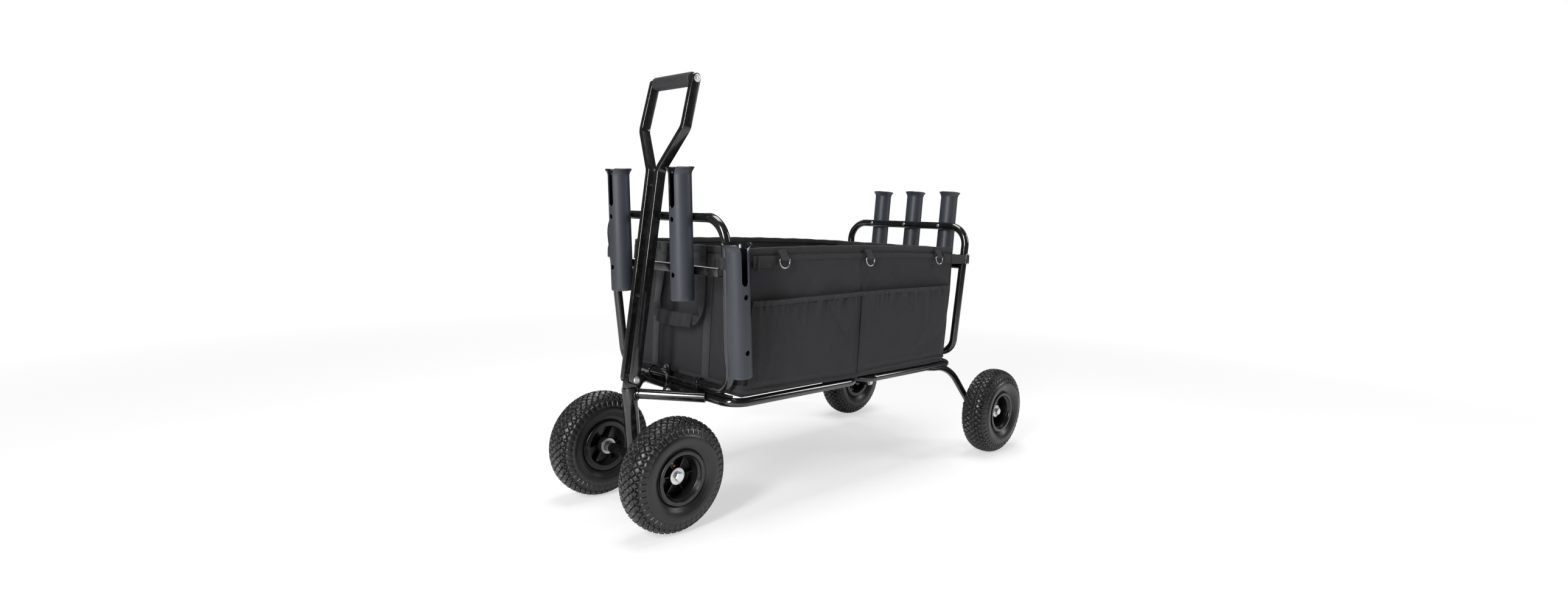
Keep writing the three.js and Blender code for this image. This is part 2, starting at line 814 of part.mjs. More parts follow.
// A bolt along Y with a head at each end, over a clamped half width
function crossBolt(radius, halfWidth, headRadius, headHeight) {
  const reach = halfWidth + seatGap;
  const shank = barY(radius, -reach - headHeight / 2, reach + headHeight / 2);
  const heads = [barY(headRadius, -reach - headHeight, -reach), barY(headRadius, reach, reach + headHeight)];
  return fuse(shank, ...heads);
}

function addHandle(parent) {
  // The upright legs lean back until they stand just clear of the front frame's top tube
  const toFrame = new THREE.Vector2(frontFrameTopX - handlePivotX, frameTopHeight - pivotHeight);
  const standoff = handleLegDepth / 2 + frameTubeRadius + handleFrameGap;
  const handleTurn = Math.atan2(toFrame.x, toFrame.y) - Math.asin(standoff / toFrame.length());
  const handle = addGroup(parent, handlePivotX, 0, pivotHeight, handleTurn);
  const top = handleSideLine()[2];
  addMesh(handle, "handle_leg_near", handleLeg(-1, handleSpacers()), "tube");
  addMesh(handle, "handle_leg_far", handleLeg(1, []), "tube");
  const sleeve = addMesh(handle, "handle_grip", grip(), "grip");
  sleeve.position.set(top.x, 0, top.y);
  const slopeRise = (gripBoltHeadDiameter / 2) * spadeSlope;
  const outer = spadeTopHalfWidth + handleLegWidth / 2 + slopeRise + seatGap;
  const gripBolt = crossBolt(gripBoltDiameter / 2, outer, gripBoltHeadDiameter / 2, gripBoltHeadHeight);
  addMesh(handle, "handle_grip_bolt", gripBolt, "zinc").position.set(top.x, 0, top.y);
  const pivotOuter = (legSpacing + handleLegWidth) / 2;
  const pivotHead = pivotBoltHeadDiameter / 2;
  const pivotBolt = crossBolt(pivotBoltDiameter / 2, pivotOuter, pivotHead, pivotBoltHeadHeight);
  addMesh(handle, "handle_pivot_bolt", pivotBolt, "zinc");
}

// Rod holders

function rodHolder(screwHoles, pads) {
  const outer = holderDiameter / 2;
  const inner = outer - holderWall;
  const rim = holderRimDiameter / 2;
  const profile = [
    [drainDiameter / 2, -holderLength], [outer, -holderLength], [outer, -holderFlare], [rim, -holderRimLip],
    [rim, 0], [rim - holderWall, 0], [inner, -holderFlare], [inner, holderFloor - holderLength],
    [drainDiameter / 2, holderFloor - holderLength],
  ].map(([radius, place]) => new THREE.Vector2(radius, place));
  const body = turned(profile, holderSegments).rotateX(Math.PI / 2);
  const half = slotWidth / 2;
  const slot = box(-holderRimDiameter, -inner / 2, -half, half, half - slotDepth, holderFlare);
  const slotEnd = moved(barX(half, -holderRimDiameter, -inner / 2), 0, 0, half - slotDepth);
  const hole = barX(holeDiameter / 2, -holderRimDiameter, -inner / 2, screwSides);
  const holes = [upperHole, lowerHole].map((depth) => moved(hole, 0, 0, -depth));
  return cut(fuse(body, ...pads), slot, slotEnd, ...holes, ...screwHoles);
}

function screwBore(depth) {
  return moved(barX(screwDiameter / 2 + seatGap, 0, holderRimDiameter, screwSides), 0, 0, -depth);
}

// Screw through the top tube of the rear frame into a holder, head towards the bag
function holderScrew() {
  const tubeFace = -frameTubeRadius - seatGap;
  const end = frameTubeRadius + turnGap + holderWall;
  const head = barX(screwHeadDiameter / 2, tubeFace - screwHeadHeight, tubeFace);
  const shank = barX(screwDiameter / 2, tubeFace - screwHeadHeight / 2, end, screwSides);
  return fuse(head, shank);
}

const frameRise = frameTopHeight - frameFootHeight;
const frontFrameTopX = frontFrameFootX - frameRise * Math.tan(radians(frontFrameLean));
const rearFrameTopX = rearFrameFootX + frameRise * Math.tan(radians(rearFrameLean));
const holderOffset = frameTubeRadius + turnGap + holderDiameter / 2;

function addHolders(parent) {
  for (const [label, side] of [["near", -1], ["far", 1]]) {
    const setback = frontHolderRise * Math.tan(radians(frontHolderLean));
    const x = frontFrameTopX - holderOffset - setback;
    const place = addGroup(parent, x, side * frontHolderSpan, frontHolderTop, -radians(frontHolderLean));
    addMesh(place, `rod_holder_front_${label}`, rodHolder([], []), "holder");
  }
  for (const [label, side] of [["near", -1], ["middle", 0], ["far", 1]]) {
    const x = rearFrameTopX + holderOffset + rearHolderRise * Math.tan(radians(rearHolderLean));
    const place = addGroup(parent, x, side * rearHolderSpan, rearHolderTop, radians(rearHolderLean));
    const lean = radians(rearHolderLean);
    const depth = rearHolderRise / Math.cos(lean) + holderOffset * Math.sin(lean);
    const body = rodHolder([screwBore(depth)], []);
    const holder = addMesh(place, `rod_holder_rear_${label}`, body, "holder");
    holder.rotation.z = Math.PI;
  }
  addCornerHolder(parent);
}

// The holder that stands along the near leg of the front frame, its slot to the near side
function addCornerHolder(parent) {
  const foot = new THREE.Vector3(frontFrameFootX, -frameFootHalfWidth, frameFootHeight);
  const top = new THREE.Vector3(frontFrameTopX, -frameTopHalfWidth, frameTopHeight);
  const along = top.clone().sub(foot).normalize();
  const place = new THREE.Group();
  place.position.copy(foot).addScaledVector(along, (nearHolderTop - frameFootHeight) / along.z);
  const distance = frameTubeRadius + turnGap + holderRimDiameter / 2;
  place.position.x -= cornerHolderForward;
  place.position.y -= Math.sqrt(distance ** 2 - cornerHolderForward ** 2);
  place.quaternion.setFromUnitVectors(new THREE.Vector3(0, 0, 1), along);
  const padEnd = holderRimDiameter / 2 + turnGap - seatGap;
  const pads = [upperHole, lowerHole].map((depth) => {
    const pad = barX(padDiameter / 2, holderDiameter / 2 - holderWall / 2, padEnd);
    return pad.rotateZ(-Math.asin(cornerHolderForward / distance)).translate(0, 0, -depth);
  });
  const holder = addMesh(place, "rod_holder_corner", rodHolder([], pads), "holder");
  holder.rotation.z = Math.PI / 2;
  parent.add(place);
}

// End frames, each in its own frame with the foot tube's axis at the origin

function endFrame(lean, outward, screwPlaces) {
  const top = frameRise / Math.cos(radians(lean));
  const corners = [
    new THREE.Vector3(0, 0, 0),
    new THREE.Vector3(0, frameFootHalfWidth, 0),
    new THREE.Vector3(0, frameTopHalfWidth, top),
    new THREE.Vector3(0, 0, top),
  ];
  const loop = closedLoop(corners, [frameFootRadius, frameTopRadius], frameTubeRadius);
  const knuckle = latchPivot(lean, outward);
  const foot = new THREE.Vector2(0, 0);
  const outline = linkOutline(foot, knuckle, frameTubeRadius / 2, latchHubDiameter / 2, lugSteps);
  const lug = sidePlate(outline, latchLugWidth, 0);
  const pinBore = barY(latchPinDiameter / 2 + seatGap, -latchLugWidth, latchLugWidth);
  const screwHoles = screwPlaces.map((y) => {
    const bore = barX(screwDiameter / 2 + seatGap, -frameTubeDiameter, frameTubeDiameter, screwSides);
    return bore.rotateY(outward * radians(rearHolderLean - lean)).translate(0, y, top);
  });
  return cut(fuse(loop, lug), moved(pinBore, knuckle.x, 0, knuckle.y), ...screwHoles);
}

// Latch pivot in the end frame's own frame, as X and Z
function latchPivot(lean, outward) {
  const pivot = new THREE.Vector2(outward * latchReach, latchPivotHeight - frameFootHeight);
  return pivot.rotateAround(new THREE.Vector2(0, 0), outward * radians(lean));
}

function legHalfWidth(height) {
  const share = (height - frameFootHeight) / frameRise;
  return THREE.MathUtils.lerp(frameFootHalfWidth, frameTopHalfWidth, share);
}

// Cross bar under the rod holders, notched round the frame's legs
function crossBar(lean, outward, holderLean) {
  const height = (crossBarHeight - frameFootHeight) / Math.cos(radians(lean));
  const drift = crossBarDrop * (Math.tan(radians(lean)) - Math.tan(radians(holderLean)));
  const tilt = (Math.tan(radians(Math.abs(lean - holderLean))) * crossBarRise) / 2;
  const outer = frameTubeRadius + turnGap + drift * Math.cos(radians(lean)) - tilt - seatGap;
  const reach = legHalfWidth(crossBarHeight);
  const [x0, x1] = ordered(outward * (outer - crossBarDepth), outward * outer);
  const bar = box(x0, x1, -reach, reach, height - crossBarRise / 2, height + crossBarRise / 2);
  const legs = [-1, 1].map((side) => {
    const line = [
      new THREE.Vector3(0, side * frameFootHalfWidth, 0),
      new THREE.Vector3(0, side * frameTopHalfWidth, frameRise / Math.cos(radians(lean))),
    ];
    return tube(line, frameTubeRadius + turnGap, postSegments);
  });
  return cut(bar, ...legs);
}

// Latch lever: a hub with its pin in the frame's lug, and a rod whose foot stands on the ear
function latchLever() {
  const footDrop = -latchRise;
  const hub = moved(barY(latchHubDiameter / 2, -latchHubWidth / 2, latchHubWidth / 2), 0, latchMiddleY, 0);
  const pin = barY(latchPinDiameter / 2, latchMiddleY, latchLugWidth / 2);
  const toeBottom = footDrop + seatGap;
  const rod = barZ(latchRodDiameter / 2, toeBottom + latchRodDiameter / 2, 0, screwSides);
  const toe = barZ(latchToeDiameter / 2, toeBottom, toeBottom + latchRodDiameter, screwSides);
  return fuse(hub, pin, moved(rod, 0, latchMiddleY, 0), moved(toe, 0, latchMiddleY, 0));
}

function addEndFrames(parent) {
  const front = addGroup(parent, frontFrameFootX, 0, frameFootHeight, -radians(frontFrameLean));
  addMesh(front, "front_end_frame", endFrame(frontFrameLean, -1, []), "tube");
  addMesh(front, "front_cross_bar", crossBar(frontFrameLean, -1, frontHolderLean), "tube");
  const rear = addGroup(parent, rearFrameFootX, 0, frameFootHeight, radians(rearFrameLean));
  const screwPlaces = [-rearHolderSpan, 0, rearHolderSpan];
  addMesh(rear, "rear_end_frame", endFrame(rearFrameLean, 1, screwPlaces), "tube");
  addMesh(rear, "rear_cross_bar", crossBar(rearFrameLean, 1, rearHolderLean), "tube");
  ["near", "middle", "far"].forEach((label, i) => {
    const place = addGroup(parent, rearFrameTopX, screwPlaces[i], frameTopHeight, radians(rearHolderLean));
    addMesh(place, `rear_holder_screw_${label}`, holderScrew(), "zinc");
  });
  for (const [label, outward, footX] of [["front", -1, frontFrameFootX], ["rear", 1, rearFrameFootX]]) {
    const lever = addMesh(parent, `${label}_latch`, latchLever(), "tube");
    lever.position.set(footX + outward * latchReach, 0, latchPivotHeight);
  }
}

// Cargo bag, sewn in two halves that meet at the middle seam

function polygon(points) {
  return new THREE.Shape(points.map(([x, z]) => new THREE.Vector2(x, z)));
}

function bagHalf(footX, topX, outward) {
  const seam = bagSeamX + (outward * seatGap) / 2;
  const inner = seam - outward * clothThickness;
  const side = polygon([[seam, bagBottom], [footX, bagBottom], [topX, bagTop], [seam, bagTop]]);
  const shell = sidePlate(side, 2 * bagHalfWidth, 0);
  const endX = outward * clothThickness;
  const cavity = polygon([
    [inner, bagBottom + clothThickness], [footX - endX, bagBottom + clothThickness],
    [topX - endX, bagTop + clothThickness], [inner, bagTop + clothThickness],
  ]);
  const hollow = sidePlate(cavity, 2 * (bagHalfWidth - clothThickness), 0);
  const pieces = [];
  const hollows = [hollow];
  const innerEnd = Math.abs(footX) < Math.abs(topX) ? footX : topX;
  for (const hand of [-1, 1]) {
    const pocket = pocketBoxes(hand, seam, innerEnd, outward);
    pieces.push(pocket.shell);
    hollows.push(pocket.hollow);
    for (const x of ringPlaces.filter((place) => (place - bagSeamX) * outward > 0)) {
      pieces.push(ringTab(x, hand));
      hollows.push(ringSlot(x, hand));
    }
  }
  const outerShell = cut(fuse(shell, ...pieces), ...hollows);
  return fuse(outerShell, ...carryHandle(outward, footX, topX));
}

function pocketBoxes(side, seam, endX, outward) {
  const [x0, x1] = ordered(seam, endX - outward * pocketInset);
  const outer = bagHalfWidth + pocketReach;
  const [y0, y1] = ordered(side * (bagHalfWidth - clothThickness / 2), side * outer);
  const shell = box(x0, x1, y0, y1, bagBottom, pocketTop);
  const [h0, h1] = ordered(side * bagHalfWidth, side * (outer - pocketCloth));
  const [floor, open] = [bagBottom + pocketCloth, pocketTop + pocketCloth];
  const hollow = box(x0 + pocketCloth, x1 - pocketCloth, h0, h1, floor, open);
  return { shell, hollow };
}

function ringTab(x, side) {
  const [y0, y1] = ordered(side * (bagHalfWidth - clothThickness / 2), side * (bagHalfWidth + tabReach));
  const z0 = ringHeight - tabDrop;
  return box(x - tabWidth / 2, x + tabWidth / 2, y0, y1, z0, z0 + tabHeight);
}

function ringSlot(x, side) {
  const y = side * (bagHalfWidth + ringStandoff);
  const half = ringWire / 2 + seatGap;
  return box(x - tabWidth, x + tabWidth, y - half, y + half, ringHeight - half, ringHeight + half);
}

// A carry handle: two straps down from the panel and a wrapped grip across their ends
function carryHandle(outward, footX, topX) {
  const panelX = (height) => THREE.MathUtils.mapLinear(height, bagBottom, bagTop, footX, topX);
  const x = panelX(carryTop) + outward * carryStandoff;
  const line = [[-1, carryTop], [-1, carryBottom], [1, carryBottom], [1, carryTop]];
  const loop = line.map(([side, z]) => new THREE.Vector2(side * carryHalfWidth, z));
  const straps = frontPlate(stripOutline(loop, carryStrapWidth), carryStrapThickness, x);
  const half = carryGripWidth / 2;
  const wrap = moved(barY(carryGripDiameter / 2, -half, half), x, 0, carryBottom);
  const depth = carryGripDiameter / 4;
  const wrapped = common(wrap, box(x - depth, x + depth, -half, half, 0, carryTop));
  const anchors = [-1, 1].map((side) => {
    const y = side * carryHalfWidth;
    const innerX = panelX(carryTop) - (outward * clothThickness) / 2;
    const [x0, x1] = ordered(innerX, x + (outward * carryStrapThickness) / 2);
    const strapHalf = carryStrapWidth / 2;
    return box(x0, x1, y - strapHalf, y + strapHalf, carryTop - carryStrapWidth, carryTop);
  });
  return [fuse(straps, wrapped, ...anchors)];
}

function addBag(parent) {
  addMesh(parent, "bag_front_half", bagHalf(bagFrontFoot, bagFrontTop, -1), "cloth");
  addMesh(parent, "bag_rear_half", bagHalf(bagRearFoot, bagRearTop, 1), "cloth");
  const z0 = bagBottom + clothThickness + seatGap;
  const z1 = z0 + boardThickness;
  const reach = bagHalfWidth - clothThickness - boardInset;
  const endX = clothThickness + boardInset;
  const frontBoard = box(bagFrontFoot + endX, hingeX - boardJoint, -reach, reach, z0, z1);
  const rearBoard = box(hingeX + boardJoint, bagRearFoot - endX, -reach, reach, z0, z1);
  addMesh(parent, "floor_board_front", frontBoard, "board");
  addMesh(parent, "floor_board_rear", rearBoard, "board");
}

// Lashing rings: a straight bar in the tab and a round bow below it

function ringGeometry() {
  const outline = (halfWidth, depth, rise) => {
    const points = [new THREE.Vector2(-halfWidth, rise), new THREE.Vector2(halfWidth, rise)].reverse();
    for (let i = 0; i <= ringSteps; i += 1) {
      const angle = Math.PI + (Math.PI * i) / ringSteps;
      const z = halfWidth * Math.sin(angle) + halfWidth - depth;
      points.push(new THREE.Vector2(halfWidth * Math.cos(angle), z));
    }
    return points;
  };
  const shape = new THREE.Shape(outline(ringHalfWidth, ringDepth, ringWire / 2));
  shape.holes.push(new THREE.Path(outline(ringHalfWidth - ringWire, ringDepth - ringWire, -ringWire / 2)));
  return geometryOf(solidOf(sidePlate(shape, ringWire, 0)));
}

function addRings(parent) {
  ["front", "middle", "rear"].forEach((end, i) => {
    for (const [label, side] of [["near", -1], ["far", 1]]) {
      const ring = addMesh(parent, `lashing_ring_${end}_${label}`, ringGeometry(), "zinc");
      ring.position.set(ringPlaces[i], side * (bagHalfWidth + ringStandoff), ringHeight);
    }
  });
}

// Elastic net: one flat grid of diamond gaps inside a hem, with a tab at each corner

function diamond(x, y, halfX, halfY) {
  const path = new THREE.Shape();
  path.moveTo(x + halfX, y);
  path.lineTo(x, y + halfY);
  path.lineTo(x - halfX, y);
  path.lineTo(x, y - halfY);
  path.closePath();
  return path;
}

const boardTop = bagBottom + clothThickness + seatGap + boardThickness;

function cargoNet() {
  const [halfX, halfY] = [netLength / 2, netWidth / 2];
  const sheet = box(-halfX, halfX, -halfY, halfY, 0, netThickness);
  const gaps = [];
  const pitchX = (netLength - 2 * netHem) / netColumns;
  const pitchY = (netWidth - 2 * netHem) / netRows;
  const slant = Math.hypot(pitchX, pitchY);
  const gapX = pitchX / 2 - (netCord * slant) / pitchY / 2;
  const gapY = pitchY / 2 - (netCord * slant) / pitchX / 2;
  for (let row = 0; row < 2 * netRows - 1; row += 1) {
    const shifted = row % 2;
    for (let column = 0; column < netColumns - shifted; column += 1) {
      const x = -halfX + netHem + pitchX * (column + 0.5 + shifted / 2);
      const y = -halfY + netHem + (pitchY * (row + 1)) / 2;
      gaps.push(diamond(x, y, gapX, gapY));
    }
  }
  const cutter = new THREE.ExtrudeGeometry(gaps, { depth: 3 * netThickness, bevelEnabled: false });
  const mesh = cut(sheet, moved(cutter, 0, 0, -netThickness));
  const tabs = netCorners().map(([x, y]) => {
    const start = x - Math.sign(x) * hookTabLength;
    const [x0, x1] = ordered(start, x + Math.sign(x) * (hookTabLength / 2));
    return box(x0, x1, y - hookTabWidth / 2, y + hookTabWidth / 2, 0, hookTabThickness);
  });
  const slots = netCorners().map(([x, y]) => {
    const middle = x + Math.sign(x) * (hookTabLength / 2) - Math.sign(x) * hookSeat;
    const half = hookWire / 2 + seatGap;
    const lift = hookTabThickness / 2;
    return box(middle - half, middle + half, y - hookWidth, y + hookWidth, lift - half, lift + half);
  });
  return cut(fuse(mesh, ...tabs), ...slots);
}

const hookSeat = hookWire / 2 + hookTabCover;

function netCorners() {
  const [x, y] = [netLength / 2, netWidth / 2 - hookWidth / 2];
  return [[-x, -y], [x, -y], [-x, y], [x, y]];
}

// Snap hook: a flat stadium ring whose straight end passes through the net's corner tab
function snapHook() {
  const outline = (inset) => {
    const half = hookWidth / 2 - inset;
    const points = [new THREE.Vector2(inset, -half), new THREE.Vector2(inset, half)].reverse();
    for (let i = 0; i <= ringSteps; i += 1) {
      const angle = -Math.PI / 2 + (Math.PI * i) / ringSteps;
      const x = hookLength - hookWidth / 2 + half * Math.cos(angle);
      points.push(new THREE.Vector2(x, half * Math.sin(angle)));
    }
    return points;
  };
  const shape = new THREE.Shape(outline(0));
  shape.holes.push(new THREE.Path(outline(hookWire)));
  const ring = new THREE.ExtrudeGeometry(shape, { depth: hookWire, bevelEnabled: false });
  return geometryOf(solidOf(ring.translate(0, 0, -hookWire / 2)));
}

function addNet(parent) {
  const net = addGroup(parent, netCentreX, 0, boardTop + seatGap);
  addMesh(net, "cargo_net", cargoNet(), "elastic");
  const labels = ["front_near", "rear_near", "front_far", "rear_far"];
  netCorners().forEach(([x, y], i) => {
    const outward = Math.sign(x);
    const bar = x + outward * (hookTabLength / 2 - hookSeat - hookWire / 2);
    const hook = addMesh(net, `net_hook_${labels[i]}`, snapHook(), "zinc");
    hook.position.set(bar, y, hookTabThickness / 2);
    hook.rotation.z = outward > 0 ? 0 : Math.PI;
  });
}

addWheels(root);
addBase(root);
addSteering(root);
addHandle(root);
addEndFrames(root);
addHolders(root);
addBag(root);
addRings(root);
addNet(root);

export default root;
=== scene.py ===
# Folding fishing trolley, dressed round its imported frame.
# Metres, +Z up, +X to the rear, the pull handle at -X, the near side at -Y, the ground at z = 0.

import itertools
import math

import bmesh
import bpy
import numpy as np
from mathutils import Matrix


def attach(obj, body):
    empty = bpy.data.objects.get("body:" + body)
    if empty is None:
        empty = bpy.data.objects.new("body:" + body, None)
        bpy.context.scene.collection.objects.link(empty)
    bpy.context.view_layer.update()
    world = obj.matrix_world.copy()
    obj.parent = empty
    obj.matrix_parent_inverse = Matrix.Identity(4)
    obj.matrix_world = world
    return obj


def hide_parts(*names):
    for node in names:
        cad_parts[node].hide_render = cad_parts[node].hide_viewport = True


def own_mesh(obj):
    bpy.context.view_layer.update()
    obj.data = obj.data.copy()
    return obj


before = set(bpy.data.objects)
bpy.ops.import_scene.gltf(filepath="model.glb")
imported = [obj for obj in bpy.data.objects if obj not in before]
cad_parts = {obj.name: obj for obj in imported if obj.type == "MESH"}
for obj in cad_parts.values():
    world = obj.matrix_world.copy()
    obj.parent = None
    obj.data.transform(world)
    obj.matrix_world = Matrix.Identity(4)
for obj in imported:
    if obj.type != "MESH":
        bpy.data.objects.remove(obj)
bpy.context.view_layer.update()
print("frame loaded")

nearFar = (("near", -1), ("far", 1))
awayOf = {"front": -1, "rear": 1}


# Camera at the photograph's place

cameraSetup = {
    "place": (-1.55797, -1.46351, 0.70466),
    "yaw": 45.15,
    "pitch": -6.09,
    "roll": 2.23,
    "focalPixels": 1242.54,
    "imageWidth": 2576,
    "sensor": 36,
    "reach": 200,
}


def linked(name, data):
    # A new object in the scene's collection
    obj = bpy.data.objects.new(name, data)
    bpy.context.scene.collection.objects.link(obj)
    return obj


def makeCamera(setup):
    yaw, pitch, roll = (math.radians(setup[key]) for key in ("yaw", "pitch", "roll"))
    right = np.array([math.cos(yaw), -math.sin(yaw), 0])
    forward = np.array([math.sin(yaw), math.cos(yaw), math.tan(pitch)])
    forward /= np.linalg.norm(forward)
    up = np.cross(right, forward)
    turned = np.eye(4)
    turned[:3, 0] = math.cos(roll) * right + math.sin(roll) * up
    turned[:3, 1] = math.cos(roll) * up - math.sin(roll) * right
    turned[:3, 2] = -forward
    turned[:3, 3] = setup["place"]
    data = bpy.data.cameras.new("photoCamera")
    data.sensor_width = setup["sensor"]
    data.lens = setup["focalPixels"] * setup["sensor"] / setup["imageWidth"]
    data.clip_end = setup["reach"]
    camera = linked("photoCamera", data)
    camera.matrix_world = turned.T.tolist()
    bpy.context.scene.camera = camera


makeCamera(cameraSetup)


# Shape helpers. A part is an array of points, a list of faces and, for some, a UV for each point.

def gridFaces(rows, columns, closedRows=False, closedColumns=False):
    # Quads between neighbouring rows and columns of a grid of points
    i = np.arange(rows if closedRows else rows - 1)[:, None]
    j = np.arange(columns if closedColumns else columns - 1)[None, :]
    nextRow, nextColumn = (i + 1) % rows, (j + 1) % columns
    corners = (i * columns + j, i * columns + nextColumn, nextRow * columns + nextColumn, nextRow * columns + j)
    return np.stack(np.broadcast_arrays(*corners), -1).reshape(-1, 4).tolist()


def tubeFaces(rows, count):
    # Rings of count points joined along the rows, with a cap on the first and the last
    caps = [list(range(count)), list(range((rows - 1) * count, rows * count))]
    return gridFaces(rows, count, False, True) + caps


def uvGrid(first, second):
    return np.stack(np.broadcast_arrays(first, second), -1).reshape(-1, 2)


def unit(v):
    return v / np.maximum(np.linalg.norm(v, axis=-1, keepdims=True), 1e-12)


def arcRoute(corners, radii, steps=10):
    # The corner points of a bent line, each replaced by an arc that touches both of its sides
    corners = [np.array(c, float) for c in corners]
    route = [corners[0]]
    for before, corner, after, radius in zip(corners, corners[1:], corners[2:], radii):
        inward, onward = unit(corner - before), unit(after - corner)
        turn = math.acos(np.clip(inward @ onward, -1, 1))
        axis = unit(np.cross(inward, onward))
        start = corner - inward * radius * math.tan(turn / 2)
        spoke = np.cross(inward, axis) * radius
        for angle in np.linspace(0, turn, steps + 1):
            swung = spoke * math.cos(angle) + np.cross(axis, spoke) * math.sin(angle)
            route.append(start - spoke + swung)
    return np.array(route + [corners[-1]])


def tangentsOf(points, closed):
    step = unit(np.roll(points, -1, axis=0) - points)
    before = np.roll(step, 1, axis=0)
    if not closed:
        step[-1] = before[-1]
        before[0] = step[0]
    return unit(step + before)


def pathLengths(points):
    return np.concatenate([[0], np.cumsum(np.linalg.norm(np.diff(points, axis=0), axis=1))])


def sweep(points, section, normal, closed=False, scale=None):
    # point + across * a + over * b for each (a, b) of the section; across and over are square to the path
    points = np.asarray(points, float)
    section = np.asarray(section, float)
    along = tangentsOf(points, closed)
    across = unit(np.cross(np.broadcast_to(np.array(normal, float), along.shape), along))
    over = np.cross(along, across)
    scale = np.ones((len(points), 2)) if scale is None else np.asarray(scale)
    a = section[None, :, 0, None] * scale[:, 0, None, None] * across[:, None, :]
    b = section[None, :, 1, None] * scale[:, 1, None, None] * over[:, None, :]
    verts = (points[:, None, :] + a + b).reshape(-1, 3)
    rows, count = len(points), len(section)
    faces = gridFaces(rows, count, True, True) if closed else tubeFaces(rows, count)
    return verts, faces, uvGrid(pathLengths(section)[None, :], pathLengths(points)[:, None])


def circleSection(radius, sides=28):
    angle = np.linspace(0, 2 * math.pi, sides, endpoint=False)
    return np.stack([radius * np.cos(angle), radius * np.sin(angle)], -1)


def boxSection(width, depth, corner, steps=4):
    # A rectangle with round corners
    angle = np.linspace(0, math.pi / 2, steps + 1)
    arc = corner * np.stack([np.cos(angle), np.sin(angle)], -1)
    core = np.array([width / 2 - corner, depth / 2 - corner])
    quarters = []
    for k in range(4):
        c, s = round(math.cos(k * math.pi / 2)), round(math.sin(k * math.pi / 2))
        turn = np.array([[c, -s], [s, c]])
        signs = np.sign(turn @ np.array([1, 1]))
        quarters.append(arc @ turn.T + core * signs)
    return np.concatenate(quarters)


def bar(radius, a, b, sides=28, chamfer=0.0):
    # A round bar between two points, with its ends' edges taken off
    a, b = np.array(a, float), np.array(b, float)
    along = unit(b - a)
    normal = [0, 0, 1] if abs(along[2]) < 0.9 else [1, 0, 0]
    section = circleSection(radius, sides)
    if chamfer == 0:
        return sweep([a, b], section, normal)
    shrink = (radius - chamfer) / radius
    scale = [[shrink, shrink], [1, 1], [1, 1], [shrink, shrink]]
    return sweep([a, a + along * chamfer, b - along * chamfer, b], section, normal, scale=scale)


def turnedPart(profile, centre=(0, 0, 0), axis="y", segments=96):
    # Each profile point (r, h) goes round the axis, here Y: (r cos t, h, r sin t)
    profile = np.asarray(profile, float)
    t = np.linspace(0, 2 * math.pi, segments, endpoint=False)[:, None]
    r, h = profile[None, :, 0], profile[None, :, 1]
    across, over, place = r * np.cos(t), r * np.sin(t), np.broadcast_to(h, (segments, len(profile)))
    order = (across, place, over) if axis == "y" else (across, over, place)
    verts = np.stack(order, -1).reshape(-1, 3) + np.array(centre)
    return verts, gridFaces(segments, len(profile), True, True)


def softProfile(corners, radius, steps=3):
    # A closed profile of (r, h) corners with each corner rounded
    corners = [np.array([*c, 0.0]) for c in corners]
    start = (corners[-1] + corners[0]) / 2
    return arcRoute([start, *corners, start], [radius] * len(corners), steps)[:-1, :2]


def roundSleeve(inner, outer, low, high, soft, segments=48, axis="y"):
    # A hollow round bar with soft edges
    corners = [(inner, low), (outer, low), (outer, high), (inner, high)]
    return turnedPart(softProfile(corners, soft), axis=axis, segments=segments)


def linkOutline(a, b, radiusA, radiusB, steps=16):
    # A plate outline with round ends of two radii
    a, b = np.array(a, float), np.array(b, float)
    along = math.atan2(*(b - a)[::-1])
    half = np.linspace(0, math.pi, steps + 1)
    ends = []
    for centre, radius, start in ((a, radiusA, along + math.pi / 2), (b, radiusB, along - math.pi / 2)):
        angle = start + half
        ends.append(centre + radius * np.stack([np.cos(angle), np.sin(angle)], -1))
    return np.concatenate(ends)


def sidePlate(outline, width, y):
    # An outline in X and Z made a plate centred on y
    ring = np.insert(np.asarray(outline, float), 1, y - width / 2, axis=1)
    return np.concatenate([ring, ring + [0, width, 0]]), tubeFaces(2, len(ring))


def boxPart(low, high):
    x, y, z = zip(low, high)
    ring = np.array([[x[0], y[0]], [x[1], y[0]], [x[1], y[1]], [x[0], y[1]]])
    return np.concatenate([np.insert(ring, 2, height, axis=1) for height in z]), tubeFaces(2, 4)


def turnedAboutY(part, degrees, centre=(0, 0, 0)):
    # Turned as the frame's own groups are: +Z goes towards +X
    c, s = math.cos(math.radians(degrees)), math.sin(math.radians(degrees))
    matrix = np.array([[c, 0, s], [0, 1, 0], [-s, 0, c]])
    return part[0] @ matrix.T + np.array(centre), *part[1:]


def shifted(part, offset):
    return part[0] + np.array(offset), *part[1:]


def mirrored(part, side):
    return part[0] * [1, side, 1], *part[1:]


def outward(part, side, centre):
    # A part made for the far side, given half a turn about Z for the near one
    return part[0] * [side, side, 1] + np.array(centre), *part[1:]


def joined(parts):
    # One list of points, faces and UVs; a part without UVs gets zeros
    verts, faces, uvs, start = [], [], [], 0
    for part in parts:
        verts.append(part[0])
        faces += [[index + start for index in polygon] for polygon in part[1]]
        uvs.append(part[2] if len(part) > 2 else np.zeros((len(part[0]), 2)))
        start += len(part[0])
    return np.concatenate(verts), faces, np.concatenate(uvs)


